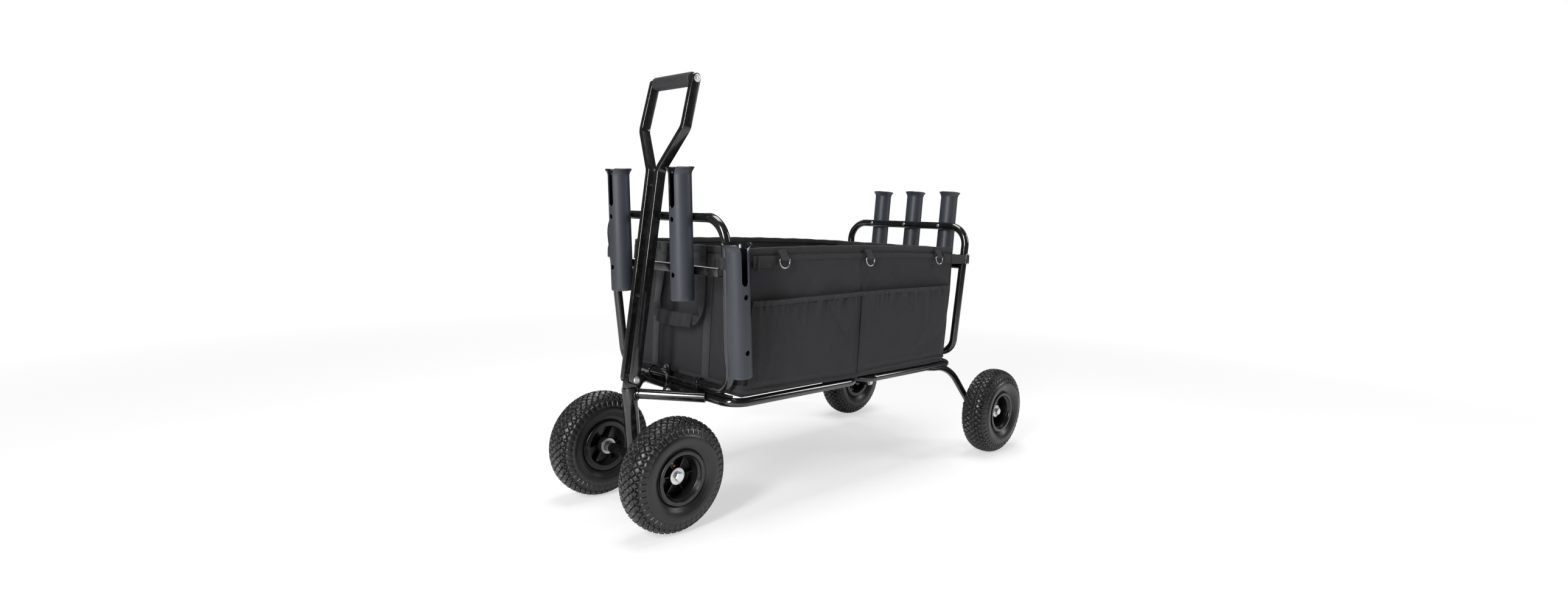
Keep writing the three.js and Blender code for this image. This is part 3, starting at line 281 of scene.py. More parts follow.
def buildMesh(name, parts, merge=True):
    verts, faces, uv = joined(parts)
    mesh = bpy.data.meshes.new(name)
    mesh.from_pydata(verts.tolist(), [], faces)
    layer = mesh.uv_layers.new(name="metres")
    loops = np.empty(len(mesh.loops), np.int32)
    mesh.loops.foreach_get("vertex_index", loops)
    layer.data.foreach_set("uv", uv.astype(np.float32)[loops].ravel())
    work = bmesh.new()
    work.from_mesh(mesh)
    if merge:
        bmesh.ops.remove_doubles(work, verts=work.verts, dist=1e-6)
    bmesh.ops.recalc_face_normals(work, faces=work.faces)
    work.to_mesh(mesh)
    work.free()
    return mesh


def setAll(target, **values):
    for key, value in values.items():
        setattr(target, key, value)


def makePiece(name, parts, finish, body, replaced=(), bevel=0.0, sharp=38, wall=0.0, merge=True):
    # A negative wall thickness grows the other way
    material, slot = finishes[finish]
    obj = linked(name, buildMesh(name, parts, merge))
    if wall:
        shell = obj.modifiers.new("wall", "SOLIDIFY")
        setAll(shell, thickness=abs(wall), offset=-1 if wall > 0 else 1, use_quality_normals=True)
    if bevel:
        edge = obj.modifiers.new("edge", "BEVEL")
        setAll(edge, width=bevel, segments=2, limit_method="ANGLE", angle_limit=math.radians(32), harden_normals=False)
    obj.data.materials.append(material)
    obj.data.shade_smooth()
    obj.data.set_sharp_from_angle(angle=math.radians(sharp))
    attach(obj, body)
    if replaced:
        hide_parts(*replaced)
    return obj


# Shader groups that several finishes share

def newGroup(name, numbers, outputs):
    # A group with a vector input, number inputs with their defaults, and number outputs
    group = bpy.data.node_groups.new(name, "ShaderNodeTree")
    group.interface.new_socket(name="Vector", in_out="INPUT", socket_type="NodeSocketVector")
    for socket, default in numbers.items():
        made = group.interface.new_socket(name=socket, in_out="INPUT", socket_type="NodeSocketFloat")
        made.default_value = default
    for socket in outputs:
        group.interface.new_socket(name=socket, in_out="OUTPUT", socket_type="NodeSocketFloat")
    return group, group.nodes.new("NodeGroupInput"), group.nodes.new("NodeGroupOutput")


def mathNode(tree, operation, a, b=None, clamp=False):
    node = tree.nodes.new("ShaderNodeMath")
    node.operation = operation
    node.use_clamp = clamp
    for socket, value in zip(node.inputs, (a, b)):
        if isinstance(value, (int, float)):
            socket.default_value = value
        elif value is not None:
            tree.links.new(value, socket)
    return node.outputs[0]


def mapRange(tree, value, low, high, outLow, outHigh):
    node = tree.nodes.new("ShaderNodeMapRange")
    tree.links.new(value, node.inputs["Value"])
    for socket, number in zip(("From Min", "From Max", "To Min", "To Max"), (low, high, outLow, outHigh)):
        node.inputs[socket].default_value = number
    return node.outputs[0]


def makeGrainGroup():
    # Fine and coarse noise of one surface: a mottle for colour and roughness, and a height for bump
    group, given, made = newGroup("surfaceGrain", {"Fine": 900, "Coarse": 12}, ["Mottle", "Height"])
    for socket, scale, detail in (("Height", "Fine", 3), ("Mottle", "Coarse", 5)):
        noise = group.nodes.new("ShaderNodeTexNoise")
        noise.inputs["Detail"].default_value = detail
        group.links.new(given.outputs["Vector"], noise.inputs["Vector"])
        group.links.new(given.outputs[scale], noise.inputs["Scale"])
        group.links.new(noise.outputs["Fac"], made.inputs[socket])
    return group


def makeWeaveGroup():
    # Plain weave with a diagonal: sin(u) sin(v) threads, and a slower line sin((u + v) / 2) across them
    group, given, made = newGroup("wovenThread", {"Threads": 5000, "Diagonal": 0.5}, ["Height", "Tone"])
    split = group.nodes.new("ShaderNodeSeparateXYZ")
    group.links.new(given.outputs["Vector"], split.inputs[0])
    u = mathNode(group, "MULTIPLY", split.outputs["X"], given.outputs["Threads"])
    v = mathNode(group, "MULTIPLY", split.outputs["Y"], given.outputs["Threads"])
    threads = mathNode(group, "MULTIPLY", mathNode(group, "SINE", u), mathNode(group, "SINE", v))
    slant = mathNode(group, "SINE", mathNode(group, "MULTIPLY", mathNode(group, "ADD", u, v), 0.5))
    slanted = mathNode(group, "MULTIPLY", slant, given.outputs["Diagonal"])
    height = mathNode(group, "ADD", threads, slanted)
    group.links.new(height, made.inputs["Height"])
    group.links.new(mapRange(group, height, -1.5, 1.5, 0, 1), made.inputs["Tone"])
    return group


def makeWearGroup():
    # Pale rub marks on raised edges: the mesh's pointiness, broken up by noise
    group, given, made = newGroup("edgeWear", {}, ["Wear"])
    geometry = group.nodes.new("ShaderNodeNewGeometry")
    noise = group.nodes.new("ShaderNodeTexNoise")
    noise.inputs["Scale"].default_value = 70
    noise.inputs["Detail"].default_value = 6
    group.links.new(given.outputs["Vector"], noise.inputs["Vector"])
    edge = mapRange(group, geometry.outputs["Pointiness"], 0.505, 0.56, 0, 1)
    broken = mapRange(group, noise.outputs["Fac"], 0.5, 0.68, 0, 1)
    group.links.new(mathNode(group, "MULTIPLY", edge, broken, True), made.inputs["Wear"])
    return group


grainGroup = makeGrainGroup()
weaveGroup = makeWeaveGroup()
wearGroup = makeWearGroup()


# Finishes

def startMaterial(name, settings):
    material = bpy.data.materials.new(name)
    material.use_nodes = True
    tree = material.node_tree
    shader = tree.nodes["Principled BSDF"]
    for socket, value in settings.items():
        shader.inputs[socket].default_value = value
    return material, tree, shader


def placed(tree, group, vector, **values):
    node = tree.nodes.new("ShaderNodeGroup")
    node.node_tree = group
    tree.links.new(vector, node.inputs["Vector"])
    for socket, value in values.items():
        node.inputs[socket].default_value = value
    return node.outputs


def coordinates(tree, kind):
    return tree.nodes.new("ShaderNodeTexCoord").outputs[kind]


def mixColours(tree, factor, first, second):
    node = tree.nodes.new("ShaderNodeMix")
    node.data_type = "RGBA"
    tree.links.new(factor, node.inputs["Factor"])
    for socket, colour in ((node.inputs[6], first), (node.inputs[7], second)):
        if isinstance(colour, tuple):
            socket.default_value = (*colour, 1)
        else:
            tree.links.new(colour, socket)
    return node.outputs[2]


def dress(tree, shader, colour, roughness, height, depth):
    bump = tree.nodes.new("ShaderNodeBump")
    bump.inputs["Distance"].default_value = depth
    bump.inputs["Strength"].default_value = 1
    for source, socket in ((height, bump.inputs["Height"]), (bump.outputs["Normal"], shader.inputs["Normal"]),
                           (colour, shader.inputs["Base Color"]), (roughness, shader.inputs["Roughness"])):
        tree.links.new(source, socket)


def grainyMaterial(name, dark, light, rough, grain, settings, wear=None):
    # A hard finish: mottled colour and roughness, a fine grain in the bump and, if given, rubbed edges
    material, tree, shader = startMaterial(name, settings)
    fine, coarse, depth = grain
    vector = coordinates(tree, "Object")
    given = placed(tree, grainGroup, vector, Fine=fine, Coarse=coarse)
    colour = mixColours(tree, mapRange(tree, given["Mottle"], 0.3, 0.7, 0, 1), dark, light)
    roughness = mapRange(tree, given["Mottle"], 0.3, 0.7, *rough)
    if wear:
        colour = mixColours(tree, placed(tree, wearGroup, vector)["Wear"], colour, wear)
    dress(tree, shader, colour, roughness, given["Height"], depth)
    return material


def wovenMaterial(name, dark, light, rough, weave, fade, depth, settings, ribs=0):
    # Cloth: thread bump and tone on the piece's own UV map in metres, uneven by slubs and a slow mottle
    material, tree, shader = startMaterial(name, settings)
    uv, place = coordinates(tree, "UV"), coordinates(tree, "Object")
    thread = placed(tree, weaveGroup, uv, Threads=weave[0], Diagonal=weave[1])
    grain = placed(tree, grainGroup, place, Fine=fade[0], Coarse=fade[1])
    slub = placed(tree, grainGroup, place, Fine=430, Coarse=150)
    broad = mapRange(tree, slub["Mottle"], 0.3, 0.7, 0.6, 1.2)
    narrow = mapRange(tree, slub["Height"], 0.3, 0.7, 0.75, 1.15)
    faded = mapRange(tree, grain["Mottle"], 0.25, 0.75, 0.6, 1.0)
    uneven = mathNode(tree, "MULTIPLY", mathNode(tree, "MULTIPLY", broad, narrow), faded)
    tone = mathNode(tree, "MULTIPLY", thread["Tone"], uneven)
    height = thread["Height"]
    if ribs:
        split = tree.nodes.new("ShaderNodeSeparateXYZ")
        tree.links.new(uv, split.inputs[0])
        line = mathNode(tree, "SINE", mathNode(tree, "MULTIPLY", split.outputs["X"], ribs))
        height = mathNode(tree, "ADD", height, mathNode(tree, "MULTIPLY", line, 1.6))
    roughness = mapRange(tree, thread["Tone"], 0, 1, *rough)
    dress(tree, shader, mixColours(tree, tone, dark, light), roughness, height, depth)
    return material


def paintBoreShadeAndGloss(material, colour, rough):
    # The holders' bore: a darker colour, painted shade for the deep slot, and a glossier skin, where the UV map's first
    # number is 1
    tree = material.node_tree
    shader = tree.nodes["Principled BSDF"]
    split = tree.nodes.new("ShaderNodeSeparateXYZ")
    tree.links.new(coordinates(tree, "UV"), split.inputs[0])
    boreShadeMask = split.outputs["X"]
    outer, outerRough = (shader.inputs[name].links[0].from_socket for name in ("Base Color", "Roughness"))
    tree.links.new(mixColours(tree, boreShadeMask, outer, colour), shader.inputs["Base Color"])
    smooth = mathNode(tree, "MULTIPLY", boreShadeMask, rough)
    tree.links.new(mathNode(tree, "ADD", outerRough, smooth), shader.inputs["Roughness"])


def sheen(blue, weight):
    return {"IOR": 1.42, "Sheen Weight": weight, "Sheen Roughness": 0.4, "Sheen Tint": (0.5, 0.5, blue, 1)}


# Slot, material, dark and light colour, roughness range, grain (fine, coarse, depth), settings and rubbed edge
hardFinishes = {
    "paint": ("frame_paint", "glossBlackPaint", (0.0042, 0.0042, 0.0045), (0.006, 0.006, 0.0064), (0.15, 0.19),
              (170, 9, 0.00003), {"IOR": 1.5, "Coat Weight": 0.4, "Coat Roughness": 0.05}, (0.03, 0.03, 0.031)),
    "zinc": ("zinc_hardware", "brightZinc", (0.6, 0.61, 0.63), (0.8, 0.81, 0.82), (0.36, 0.52),
             (700, 60, 0.00004), {"Metallic": 1.0}),
    "wire": ("zinc_hardware", "nickelWire", (0.3, 0.3, 0.31), (0.46, 0.46, 0.47), (0.26, 0.36),
             (700, 60, 0.000006), {"Metallic": 1.0}),
    "brass": ("zinc_hardware", "brassValve", (0.5, 0.27, 0.1), (0.66, 0.4, 0.17), (0.22, 0.36),
              (900, 90, 0.00003), {"Metallic": 1.0}),
    "rim": ("rim_plastic", "rimMoulding", (0.0055, 0.0055, 0.006), (0.01, 0.01, 0.011), (0.2, 0.3),
            (420, 16, 0.00005), {"IOR": 1.48}, (0.035, 0.035, 0.036)),
    "holder": ("holder_plastic", "holderMoulding", (0.024, 0.0275, 0.0355), (0.029, 0.0335, 0.0425), (0.42, 0.5),
               (1500, 5, 0.00005), {"IOR": 1.46}, (0.075, 0.08, 0.088)),
    "grip": ("grip_rubber", "gripRubber", (0.017, 0.017, 0.0185), (0.024, 0.024, 0.026), (0.55, 0.68),
             (1300, 30, 0.00012), {"IOR": 1.45}),
    "tyre": ("tyre_rubber", "tyreRubber", (0.0055, 0.0055, 0.006), (0.0095, 0.0095, 0.0103), (0.28, 0.42),
             (520, 26, 0.0001), {"IOR": 1.47}, (0.03, 0.03, 0.031)),
    "butyl": ("inner_tube_butyl", "butylRubber", (0.012, 0.012, 0.013), (0.018, 0.018, 0.019), (0.5, 0.62),
              (400, 20, 0.0001), {"IOR": 1.47}),
    "thread": ("bag_fabric", "sewingThread", (0.02, 0.02, 0.021), (0.05, 0.05, 0.052), (0.55, 0.7),
               (3000, 200, 0.00005), {"IOR": 1.45}),
    "board": ("bag_fabric", "boardCover", (0.009, 0.009, 0.0095), (0.016, 0.016, 0.017), (0.7, 0.85),
              (1100, 14, 0.0001), {"IOR": 1.42}),
}
# Slot, material, colours, roughness range, weave (threads, diagonal), mottle (fine, coarse), depth, settings and ribs
clothFinishes = {
    "cloth": ("bag_fabric", "bagCloth", (0.0068, 0.0068, 0.0084), (0.0265, 0.0265, 0.0325), (0.72, 0.46),
              (4900, 0.9), (1400, 6), 0.00026, sheen(0.58, 0.05)),
    "webbing": ("bag_fabric", "polyWebbing", (0.011, 0.011, 0.012), (0.033, 0.033, 0.035), (0.8, 0.6),
                (3000, 0.3), (900, 20), 0.0003, sheen(0.52, 0.12), 2600),
    "binding": ("bag_fabric", "bindingTape", (0.014, 0.014, 0.0155), (0.043, 0.043, 0.046), (0.82, 0.66),
                (5200, 0.2), (900, 30), 0.0002, sheen(0.52, 0.08), 4200),
    "elastic": ("elastic_cord", "elasticBraid", (0.006, 0.006, 0.0065), (0.02, 0.02, 0.021), (0.75, 0.6),
                (3600, 1.0), (1500, 30), 0.0002, {"IOR": 1.42}),
}
# The holders' bore: painted shade as a darker colour, with a lower roughness
holderBoreShadeAndGloss = {"colour": (0.0045, 0.005, 0.0062), "rough": -0.26}

finishes = {key: (grainyMaterial(*row[1:]), row[0]) for key, row in hardFinishes.items()}
finishes |= {key: (wovenMaterial(*row[1:]), row[0]) for key, row in clothFinishes.items()}
# Painted shade inside the holders' bore
paintBoreShadeAndGloss(finishes["holder"][0], **holderBoreShadeAndGloss)
print("finishes made")


# Wheels

stance = {"frontAxle": -0.567, "rearAxle": 0.567, "axleHeight": 0.13, "frontTrack": 0.304, "rearTrack": 0.58}

tyre = {
    "diameter": 0.26, "width": 0.086, "height": 0.084, "beadAngle": 132, "crown": 2.4, "bead": 1.7,
    "lugDepth": 0.0032, "lugsRound": 46, "lean": 0.86, "crownEnd": 0.0385, "barEnd": 0.0555, "barShare": 0.62,
    "lines": (0.0615, 0.0645, 0.083), "lineHigh": 0.0006, "around": 828, "across": 108,
    "beadFeet": ((0.058, 0.0318), (0.0513, 0.030), (0.0513, 0.020)),
    "blockEdge": (0.055, 0.125), "barEdge": (0.17, 0.25), "step": 0.003, "lineWide": 0.0007, "drawnIn": (0.056, 0.066),
}


def tyreSurface(v):
    # Superellipse section: the crown is squarer than the bead; treads stand on it, grooves go down to it
    angle = np.radians(v["beadAngle"]) * np.linspace(-1, 1, v["across"])
    c, s = np.cos(angle), np.sin(angle)
    power = np.where(c > 0, 2 / v["crown"], 2 / v["bead"])
    middle = v["diameter"] / 2 - v["height"] / 2
    rise = np.sign(c) * np.abs(c) ** power
    side = np.sign(s) * np.abs(s) ** power
    radius = middle + v["height"] / 2 * rise
    place = v["width"] / 2 * side
    length = np.concatenate([[0], np.cumsum(np.hypot(np.diff(radius), np.diff(place)))])
    length -= length[-1] / 2
    return radius, place, length


def smoothStep(x, low, high):
    t = np.clip((x - low) / (high - low), 0, 1)
    return t * t * (3 - 2 * t)


def triangleWave(x):
    # Distance to the nearest whole number, 0 to 0.5
    return np.abs(x - np.round(x))


def treadHeight(turn, length, v):
    # Diamond blocks on the crown in two leaning rows of grooves, then short bars down the shoulder
    lug = turn * v["lugsRound"]
    slant = length / (math.pi * v["diameter"] / v["lugsRound"]) * v["lean"]
    groove = np.minimum(triangleWave(lug + slant), triangleWave(lug - slant))
    zigzag = np.minimum(groove, triangleWave(2 * lug + 0.5) * 0.8 + 0.07)
    blocks = smoothStep(zigzag, *v["blockEdge"])
    reach = np.abs(length)
    crown = 1 - smoothStep(reach, v["crownEnd"], v["crownEnd"] + v["step"])
    bars = smoothStep(triangleWave(lug + 0.5), *v["barEdge"])
    shoulder = smoothStep(reach, v["crownEnd"] + 0.004, v["crownEnd"] + 0.006)
    shoulder = shoulder * (1 - smoothStep(reach, v["barEnd"], v["barEnd"] + v["step"]))
    lines = sum(np.exp(-((reach - place) / v["lineWide"]) ** 2) for place in v["lines"])
    return v["lugDepth"] * (blocks * crown + v["barShare"] * bars * shoulder) + v["lineHigh"] * lines


def tyrePart(v, hand, centre):
    # The section goes round the axle, (r sin t, y, r cos t), with the bead's feet added at both ends
    radius, place, length = tyreSurface(v)
    turn = np.linspace(0, 1, v["around"], endpoint=False)[:, None]
    # The carcass is drawn in by the lug depth where it carries lugs, so that the lugs end at the true size
    drawnIn = v["lugDepth"] * (1 - smoothStep(np.abs(length), *v["drawnIn"]))
    height = treadHeight(turn, length[None, :], v) - drawnIn
    feet, feetY = np.array(v["beadFeet"]).T
    allRound = lambda row: np.tile(row, (v["around"], 1))
    extend = lambda low, grid, high: np.concatenate([allRound(low), grid, allRound(high)], 1)
    r = extend(feet[::-1], radius + height * np.gradient(place, length), feet)
    y = extend(-feetY[::-1], place - height * np.gradient(radius, length), feetY)
    t = 2 * math.pi * turn
    verts = np.stack([r * np.sin(t), hand * y, r * np.cos(t)], -1).reshape(-1, 3)
    uv = uvGrid(turn * math.pi * v["diameter"], np.pad(length, len(feet), mode="edge")[None, :])
    return verts + np.array(centre), gridFaces(*r.shape, True, True), uv


innerTube = {"inner": 0.0522, "outer": 0.1205, "half": 0.0335, "lineHigh": 0.0004, "lineWide": 0.08}


def innerTubePart(v):
    # A soft ring inside the tyre with fine mould lines round its crown
    middle, high = (v["inner"] + v["outer"]) / 2, (v["outer"] - v["inner"]) / 2
    angle = np.linspace(0, 2 * math.pi, 48, endpoint=False)
    line = v["lineHigh"] * np.exp(-((np.sin(angle) / v["lineWide"]) ** 2))
    profile = np.stack([middle + (high + line) * np.cos(angle), (v["half"] + line) * np.sin(angle)], -1)
    return turnedPart(profile, segments=96)


rim = {
    "flange": 0.0615, "lip": 0.0025, "seat": 0.051, "inner": 0.047, "half": 0.0365, "hub": 0.02, "bore": 0.0085,
    "hubInner": 0.038, "hubOuter": 0.014, "webInner": 0.008, "webOuter": 0.003, "ribs": 6, "ribWide": 0.0028,
    "ribRise": 0.012, "innerRibRise": 0.024, "ribDrop": 0.004, "soft": 0.0009,
}


def rimParts(v):
    # One turned dish with a rolled flange on each side, and thin ribs on both faces of its web
    inner, seat, flange, half = v["inner"], v["seat"], v["flange"], v["half"]
    profile = softProfile([
        (v["bore"], -v["hubInner"]), (v["hub"], -v["hubInner"]), (v["hub"], -v["webInner"]), (inner, -v["webInner"]),
        (inner + v["lip"], -half), (flange, -half), (flange - 0.001, -half + 0.003), (seat, -half + 0.006),
        (seat, half - 0.006), (flange - 0.001, half - 0.003), (flange, half), (inner + 0.006, half),
        (inner + 0.0045, half - 0.004), (inner, half - 0.009), (inner, -v["webOuter"]),
        (v["hub"] + 0.001, -v["webOuter"]), (v["hub"] - 0.003, v["hubOuter"]), (v["bore"], v["hubOuter"]),
    ], v["soft"])
    parts = [turnedPart(profile, segments=128)]
    webFaces = ((1, -v["webOuter"] - 0.002, v["ribRise"]), (-1, -v["webInner"] + 0.002, -v["innerRibRise"]))
    sides = [[0, 1, 3, 2], [4, 6, 7, 5], [0, 4, 5, 1], [2, 3, 7, 6], [1, 5, 7, 3], [0, 2, 6, 4]]
    for k, (face, low, rise) in itertools.product(range(v["ribs"]), webFaces):
        ends = ((v["hub"] - 0.004, rise), (inner + 0.001, rise - face * v["ribDrop"]))
        corners = [point for wide in (-v["ribWide"] / 2, v["ribWide"] / 2) for r, top in ends
                   for point in ([r, low, wide], [r, top, wide * 0.75])]
        parts.append(turnedAboutY((np.array(corners), sides), 360 * k / v["ribs"]))
    return parts


valve = {
    "turn": 62, "foot": (0.043, 0.012), "tip": (0.031, 0.0235), "base": 0.0036, "stem": 0.0027, "cap": 0.0034,
    "baseLong": 0.009, "capLong": 0.0052,
}


def valveParts(v):
    # Brass stem on a rubber foot, leaning out of the barrel beside a rib
    angle = math.radians(v["turn"])
    foot, tip = (np.array([r * math.cos(angle), y, r * math.sin(angle)]) for r, y in (v["foot"], v["tip"]))
    along = unit(tip - foot)
    return [bar(v["base"], foot, foot + along * v["baseLong"], 20, 0.0006),
            bar(v["stem"], foot + along * (v["baseLong"] - 0.001), tip, 20, 0.0004),
            bar(v["cap"], tip - along * v["capLong"], tip, 16, 0.0005)]


bolt = {
    "shank": 0.008, "bore": 0.006, "head": 0.011, "headHigh": 0.009, "washer": 0.019, "washerThick": 0.0025,
    "collar": 0.0118, "collarHigh": 0.0036, "face": 0.0143, "nutHigh": 0.009, "frontShank": 0.068, "rearShank": 0.0993,
}


def hexHead(radius, y0, y1):
    # Six flats with the corners of the top turned off
    points = [[0, y0, 0], [0, y1 - 0.0012, 0], [0, y1, 0]]
    return sweep(points, circleSection(radius, 6), [0, 0, 1], scale=[[1, 1], [1, 1], [0.9, 0.9]])


def boltParts(v, shankReach, hasNut):
    face, bore, top = v["face"], v["bore"], v["face"] + v["washerThick"]
    shoulder = face + v["washerThick"] * 0.8
    corners = [(bore, face), (v["washer"], face), (v["washer"], shoulder), (v["head"] + 0.002, top), (bore, top)]
    washer = turnedPart(softProfile(corners, 0.0004), segments=64)
    collar = roundSleeve(bore, v["collar"], face + 0.002, face + v["collarHigh"], 0.0003)
    parts = [washer, collar, hexHead(v["head"], face + 0.003, top + v["headHigh"]),
             bar(v["shank"], [0, -shankReach, 0], [0, face + 0.001, 0])]
    if hasNut:
        parts.append(hexHead(v["head"], -shankReach + v["nutHigh"], -shankReach + 0.0022))
    return parts


def makeWheels(s):
    for end, boltBody in (("front", "steering"), ("rear", "rear_base")):
        for label, side in nearFar:
            centre = np.array([s[f"{end}Axle"], side * s[f"{end}Track"] / 2, s["axleHeight"]])
            name = f"{end}_{label}"
            body = f"{name}_wheel"
            place = lambda parts: [outward(p, side, centre) for p in parts]
            treads = [tyrePart(tyre, side, centre)]
            makePiece(f"{name}Tyre", treads, "tyre", body, [f"{name}_tyre"], sharp=50, merge=False)
            makePiece(f"{name}Rim", place(rimParts(rim)), "rim", body, [f"{name}_rim"], sharp=30)
            makePiece(f"{name}Valve", place(valveParts(valve)), "brass", body)
            parts = place(boltParts(bolt, bolt[f"{end}Shank"], end == "rear"))
            makePiece(f"{name}AxleBolt", parts, "zinc", boltBody, [f"{name}_axle_bolt"], sharp=25)
            tubePart = shifted(innerTubePart(innerTube), centre)
            makePiece(f"{name}InnerTube", [tubePart], "butyl", body, [f"{name}_inner_tube"], sharp=50)


makeWheels(stance)
print("wheels made")


# Base frame of bent tube

base = {
    "tube": 0.0105, "strutRadius": 0.012, "strutStart": (-0.569, 0.004), "strutEnd": (-0.463, 0.131),
    "rails": {
        "front": {"x": (-0.455, -0.022), "y": 0.219, "z": 0.285,
                  "corners": (0.045, 0.035), "hingeEnd": 1, "footX": -0.457},
        "rear": {"x": (0.025, 0.431), "y": 0.213, "z": 0.283,
                 "corners": (0.035, 0.035), "hingeEnd": 0, "footX": 0.442},
    },
    "hinge": (0.0015, 0.262), "hingeY": 0.15, "lugWide": 0.008, "lugRadius": 0.01, "gap": 0.0003,
    "sleeve": 0.0175, "sleeveBore": 0.0132, "sleeveLow": 0.024, "sleeveHigh": 0.172, "rake": 6,
    "footZ": 0.312, "saddleY": 0.095, "saddleWide": 0.02, "saddleRadius": 0.014,
    "latchReach": 0.028, "latchZ": 0.334, "latchFoot": 0.292, "latchY": -0.0103, "latchWide": 0.01, "ear": 0.009,
}
bodyOf = {"front": "chassis", "rear": "rear_base"}


def railLoop(x0, x1, y, z, radii, tube):
    # A closed rectangle of bent tube; the route starts and ends in the middle of the far side
    middle = (x0 + x1) / 2
    corners = [(middle, y, z), (x1, y, z), (x1, -y, z), (x0, -y, z), (x0, y, z), (middle, y, z)]
    route = arcRoute(corners, [radii[1], radii[1], radii[0], radii[0]], 16)[:-1]
    return sweep(route, circleSection(tube), [0, 0, 1], closed=True)


def baseParts(v, end):
    # The loop of one half with its hinge lugs, the saddles under the end frame's foot and the latch's ear
    rail, tube, away = v["rails"][end], v["tube"], awayOf[end]
    hingeX, barX = rail["x"][rail["hingeEnd"]], rail["x"][1 - rail["hingeEnd"]]
    foot, outerBar = rail["footX"], (barX, rail["z"])
    loop = railLoop(*rail["x"], rail["y"], rail["z"], rail["corners"], tube)
    lug = linkOutline((hingeX, rail["z"]), v["hinge"], tube / 2, v["lugRadius"])
    lugY = v["hingeY"] + away * (v["lugWide"] / 2 + v["gap"] / 2)
    saddle = linkOutline(outerBar, (foot, v["footZ"]), tube / 2, v["saddleRadius"])
    ear = linkOutline(outerBar, (foot + away * v["latchReach"], v["latchFoot"] - v["ear"]), tube / 2, v["ear"])
    return [loop, *(sidePlate(lug, v["lugWide"], side * lugY) for side in (-1, 1)),
            *(sidePlate(saddle, v["saddleWide"], side * v["saddleY"]) for side in (-1, 1)),
            sidePlate(ear, v["latchWide"], v["latchY"])]


def earBolt(v, end):
    # Bright hexagon head on the side of the latch's ear
    profile = softProfile([(0.001, 0.0), (0.0066, 0.0), (0.0062, 0.0012), (0.001, 0.0014)], 0.0002)
    washer = turnedPart(profile, segments=40)
    x = v["rails"][end]["footX"] + awayOf[end] * v["latchReach"]
    spot = (x, v["latchY"] - v["latchWide"] / 2, v["latchFoot"] - v["ear"])
    return [outward(part, -1, spot) for part in (hexHead(0.0052, 0.0002, 0.0042), washer)]


def weldBead(centre, radius, along, width=0.0022):
    # A small rolled fillet round a joint
    along = unit(np.array(along, float))
    side = unit(np.cross(along, [0.3, 0.5, 0.8]))
    t = np.linspace(0, 2 * math.pi, 40, endpoint=False)[:, None]
    ring = np.array(centre) + radius * (np.cos(t) * side + np.sin(t) * np.cross(along, side))
    return sweep(ring + along * 0.0004 * np.sin(t * 13), circleSection(width, 10), along, closed=True)


def copedBead(axis, along, radius, post):
    # Weld where a tube meets a post: at angle t round the tube it lies sqrt(post^2 - (r cos t)^2) out
    t = np.linspace(0, 2 * math.pi, 60, endpoint=False)[:, None]
    out = np.sqrt(post ** 2 - (radius * np.cos(t)) ** 2) + 0.0006
    spoke = np.cos(t) * np.cross([0, 0, 1], along) + np.sin(t) * [0, 0, 1]
    ring = axis + along * out + (radius + 0.0003 + 0.0002 * np.sin(t * 17)) * spoke
    return sweep(ring, circleSection(0.0016, 10), along, closed=True)


def yokeParts(v):
    lean, z = math.radians(v["rake"]), v["rails"]["front"]["z"]
    up = np.array([-math.sin(lean), 0, math.cos(lean)])
    centre = np.array([stance["frontAxle"], 0, stance["axleHeight"]])
    sleeve = roundSleeve(v["sleeveBore"], v["sleeve"], v["sleeveLow"], v["sleeveHigh"], 0.001, 64, "z")
    parts = [turnedAboutY(sleeve, -v["rake"], centre)]
    for side in (-1, 1):
        a, b = (np.array([x, side * y, z]) for x, y in (v["strutStart"], v["strutEnd"]))
        along = unit(b - a)
        parts.append(sweep([a, b - along * 0.0009, b], circleSection(v["strutRadius"], 40), [0, 0, 1],
                           scale=[[1, 1], [1, 1], [0.93, 0.93]]))
        axis = np.array([centre[0] - math.tan(lean) * (z - centre[2]), a[1], z])
        joint = b - along * 0.0035 + np.array([0.0035, -side * 0.0035, 0])
        parts += [copedBead(axis, along, v["strutRadius"], v["sleeve"]),
                  weldBead(joint, v["strutRadius"] - 0.0005, along, 0.0016)]
    return [*parts, weldBead(centre + up * 0.166, v["sleeve"] - 0.0008, up, 0.0014)]


leg = {
    "tube": 0.01, "hiddenX": 0.298, "startX": 0.345, "startZ": 0.277, "bendX": 0.421, "bends": (0.06, 0.18),
    "bore": 0.0084, "boss": 0.013, "bossIn": 0.2, "bossOut": 0.2517,
}


def rearLegParts(v, side):
    # It starts inside the rail's tube and slopes out from under it
    rail = base["rails"]["rear"]
    y, x, z = side * rail["y"], stance["rearAxle"], stance["axleHeight"]
    corners = [(v["hiddenX"], y, rail["z"]), (v["startX"], y, v["startZ"]), (v["bendX"], y, v["startZ"]), (x, y, z)]
    tube = sweep(arcRoute(corners, v["bends"], 24), circleSection(v["tube"]), [0, 1, 0])
    boss = outward(roundSleeve(v["bore"], v["boss"], v["bossIn"], v["bossOut"], 0.0008), side, (x, 0, z))
    return [tube, boss, weldBead((x - 0.008, y, z + 0.0098), 0.0085, (0.62, 0, -0.78), 0.0016)]


def hingePinParts(v):
    reach = v["lugWide"] + v["gap"]
    head = softProfile([(0.0001, reach + 0.00015), (0.007, reach + 0.00015), (0.0062, reach + 0.003),
                        (0.0001, reach + 0.0041)], 0.0006)
    return [bar(0.004, (0, -reach, 0), (0, reach + 0.001, 0)), turnedPart(head, segments=40)]


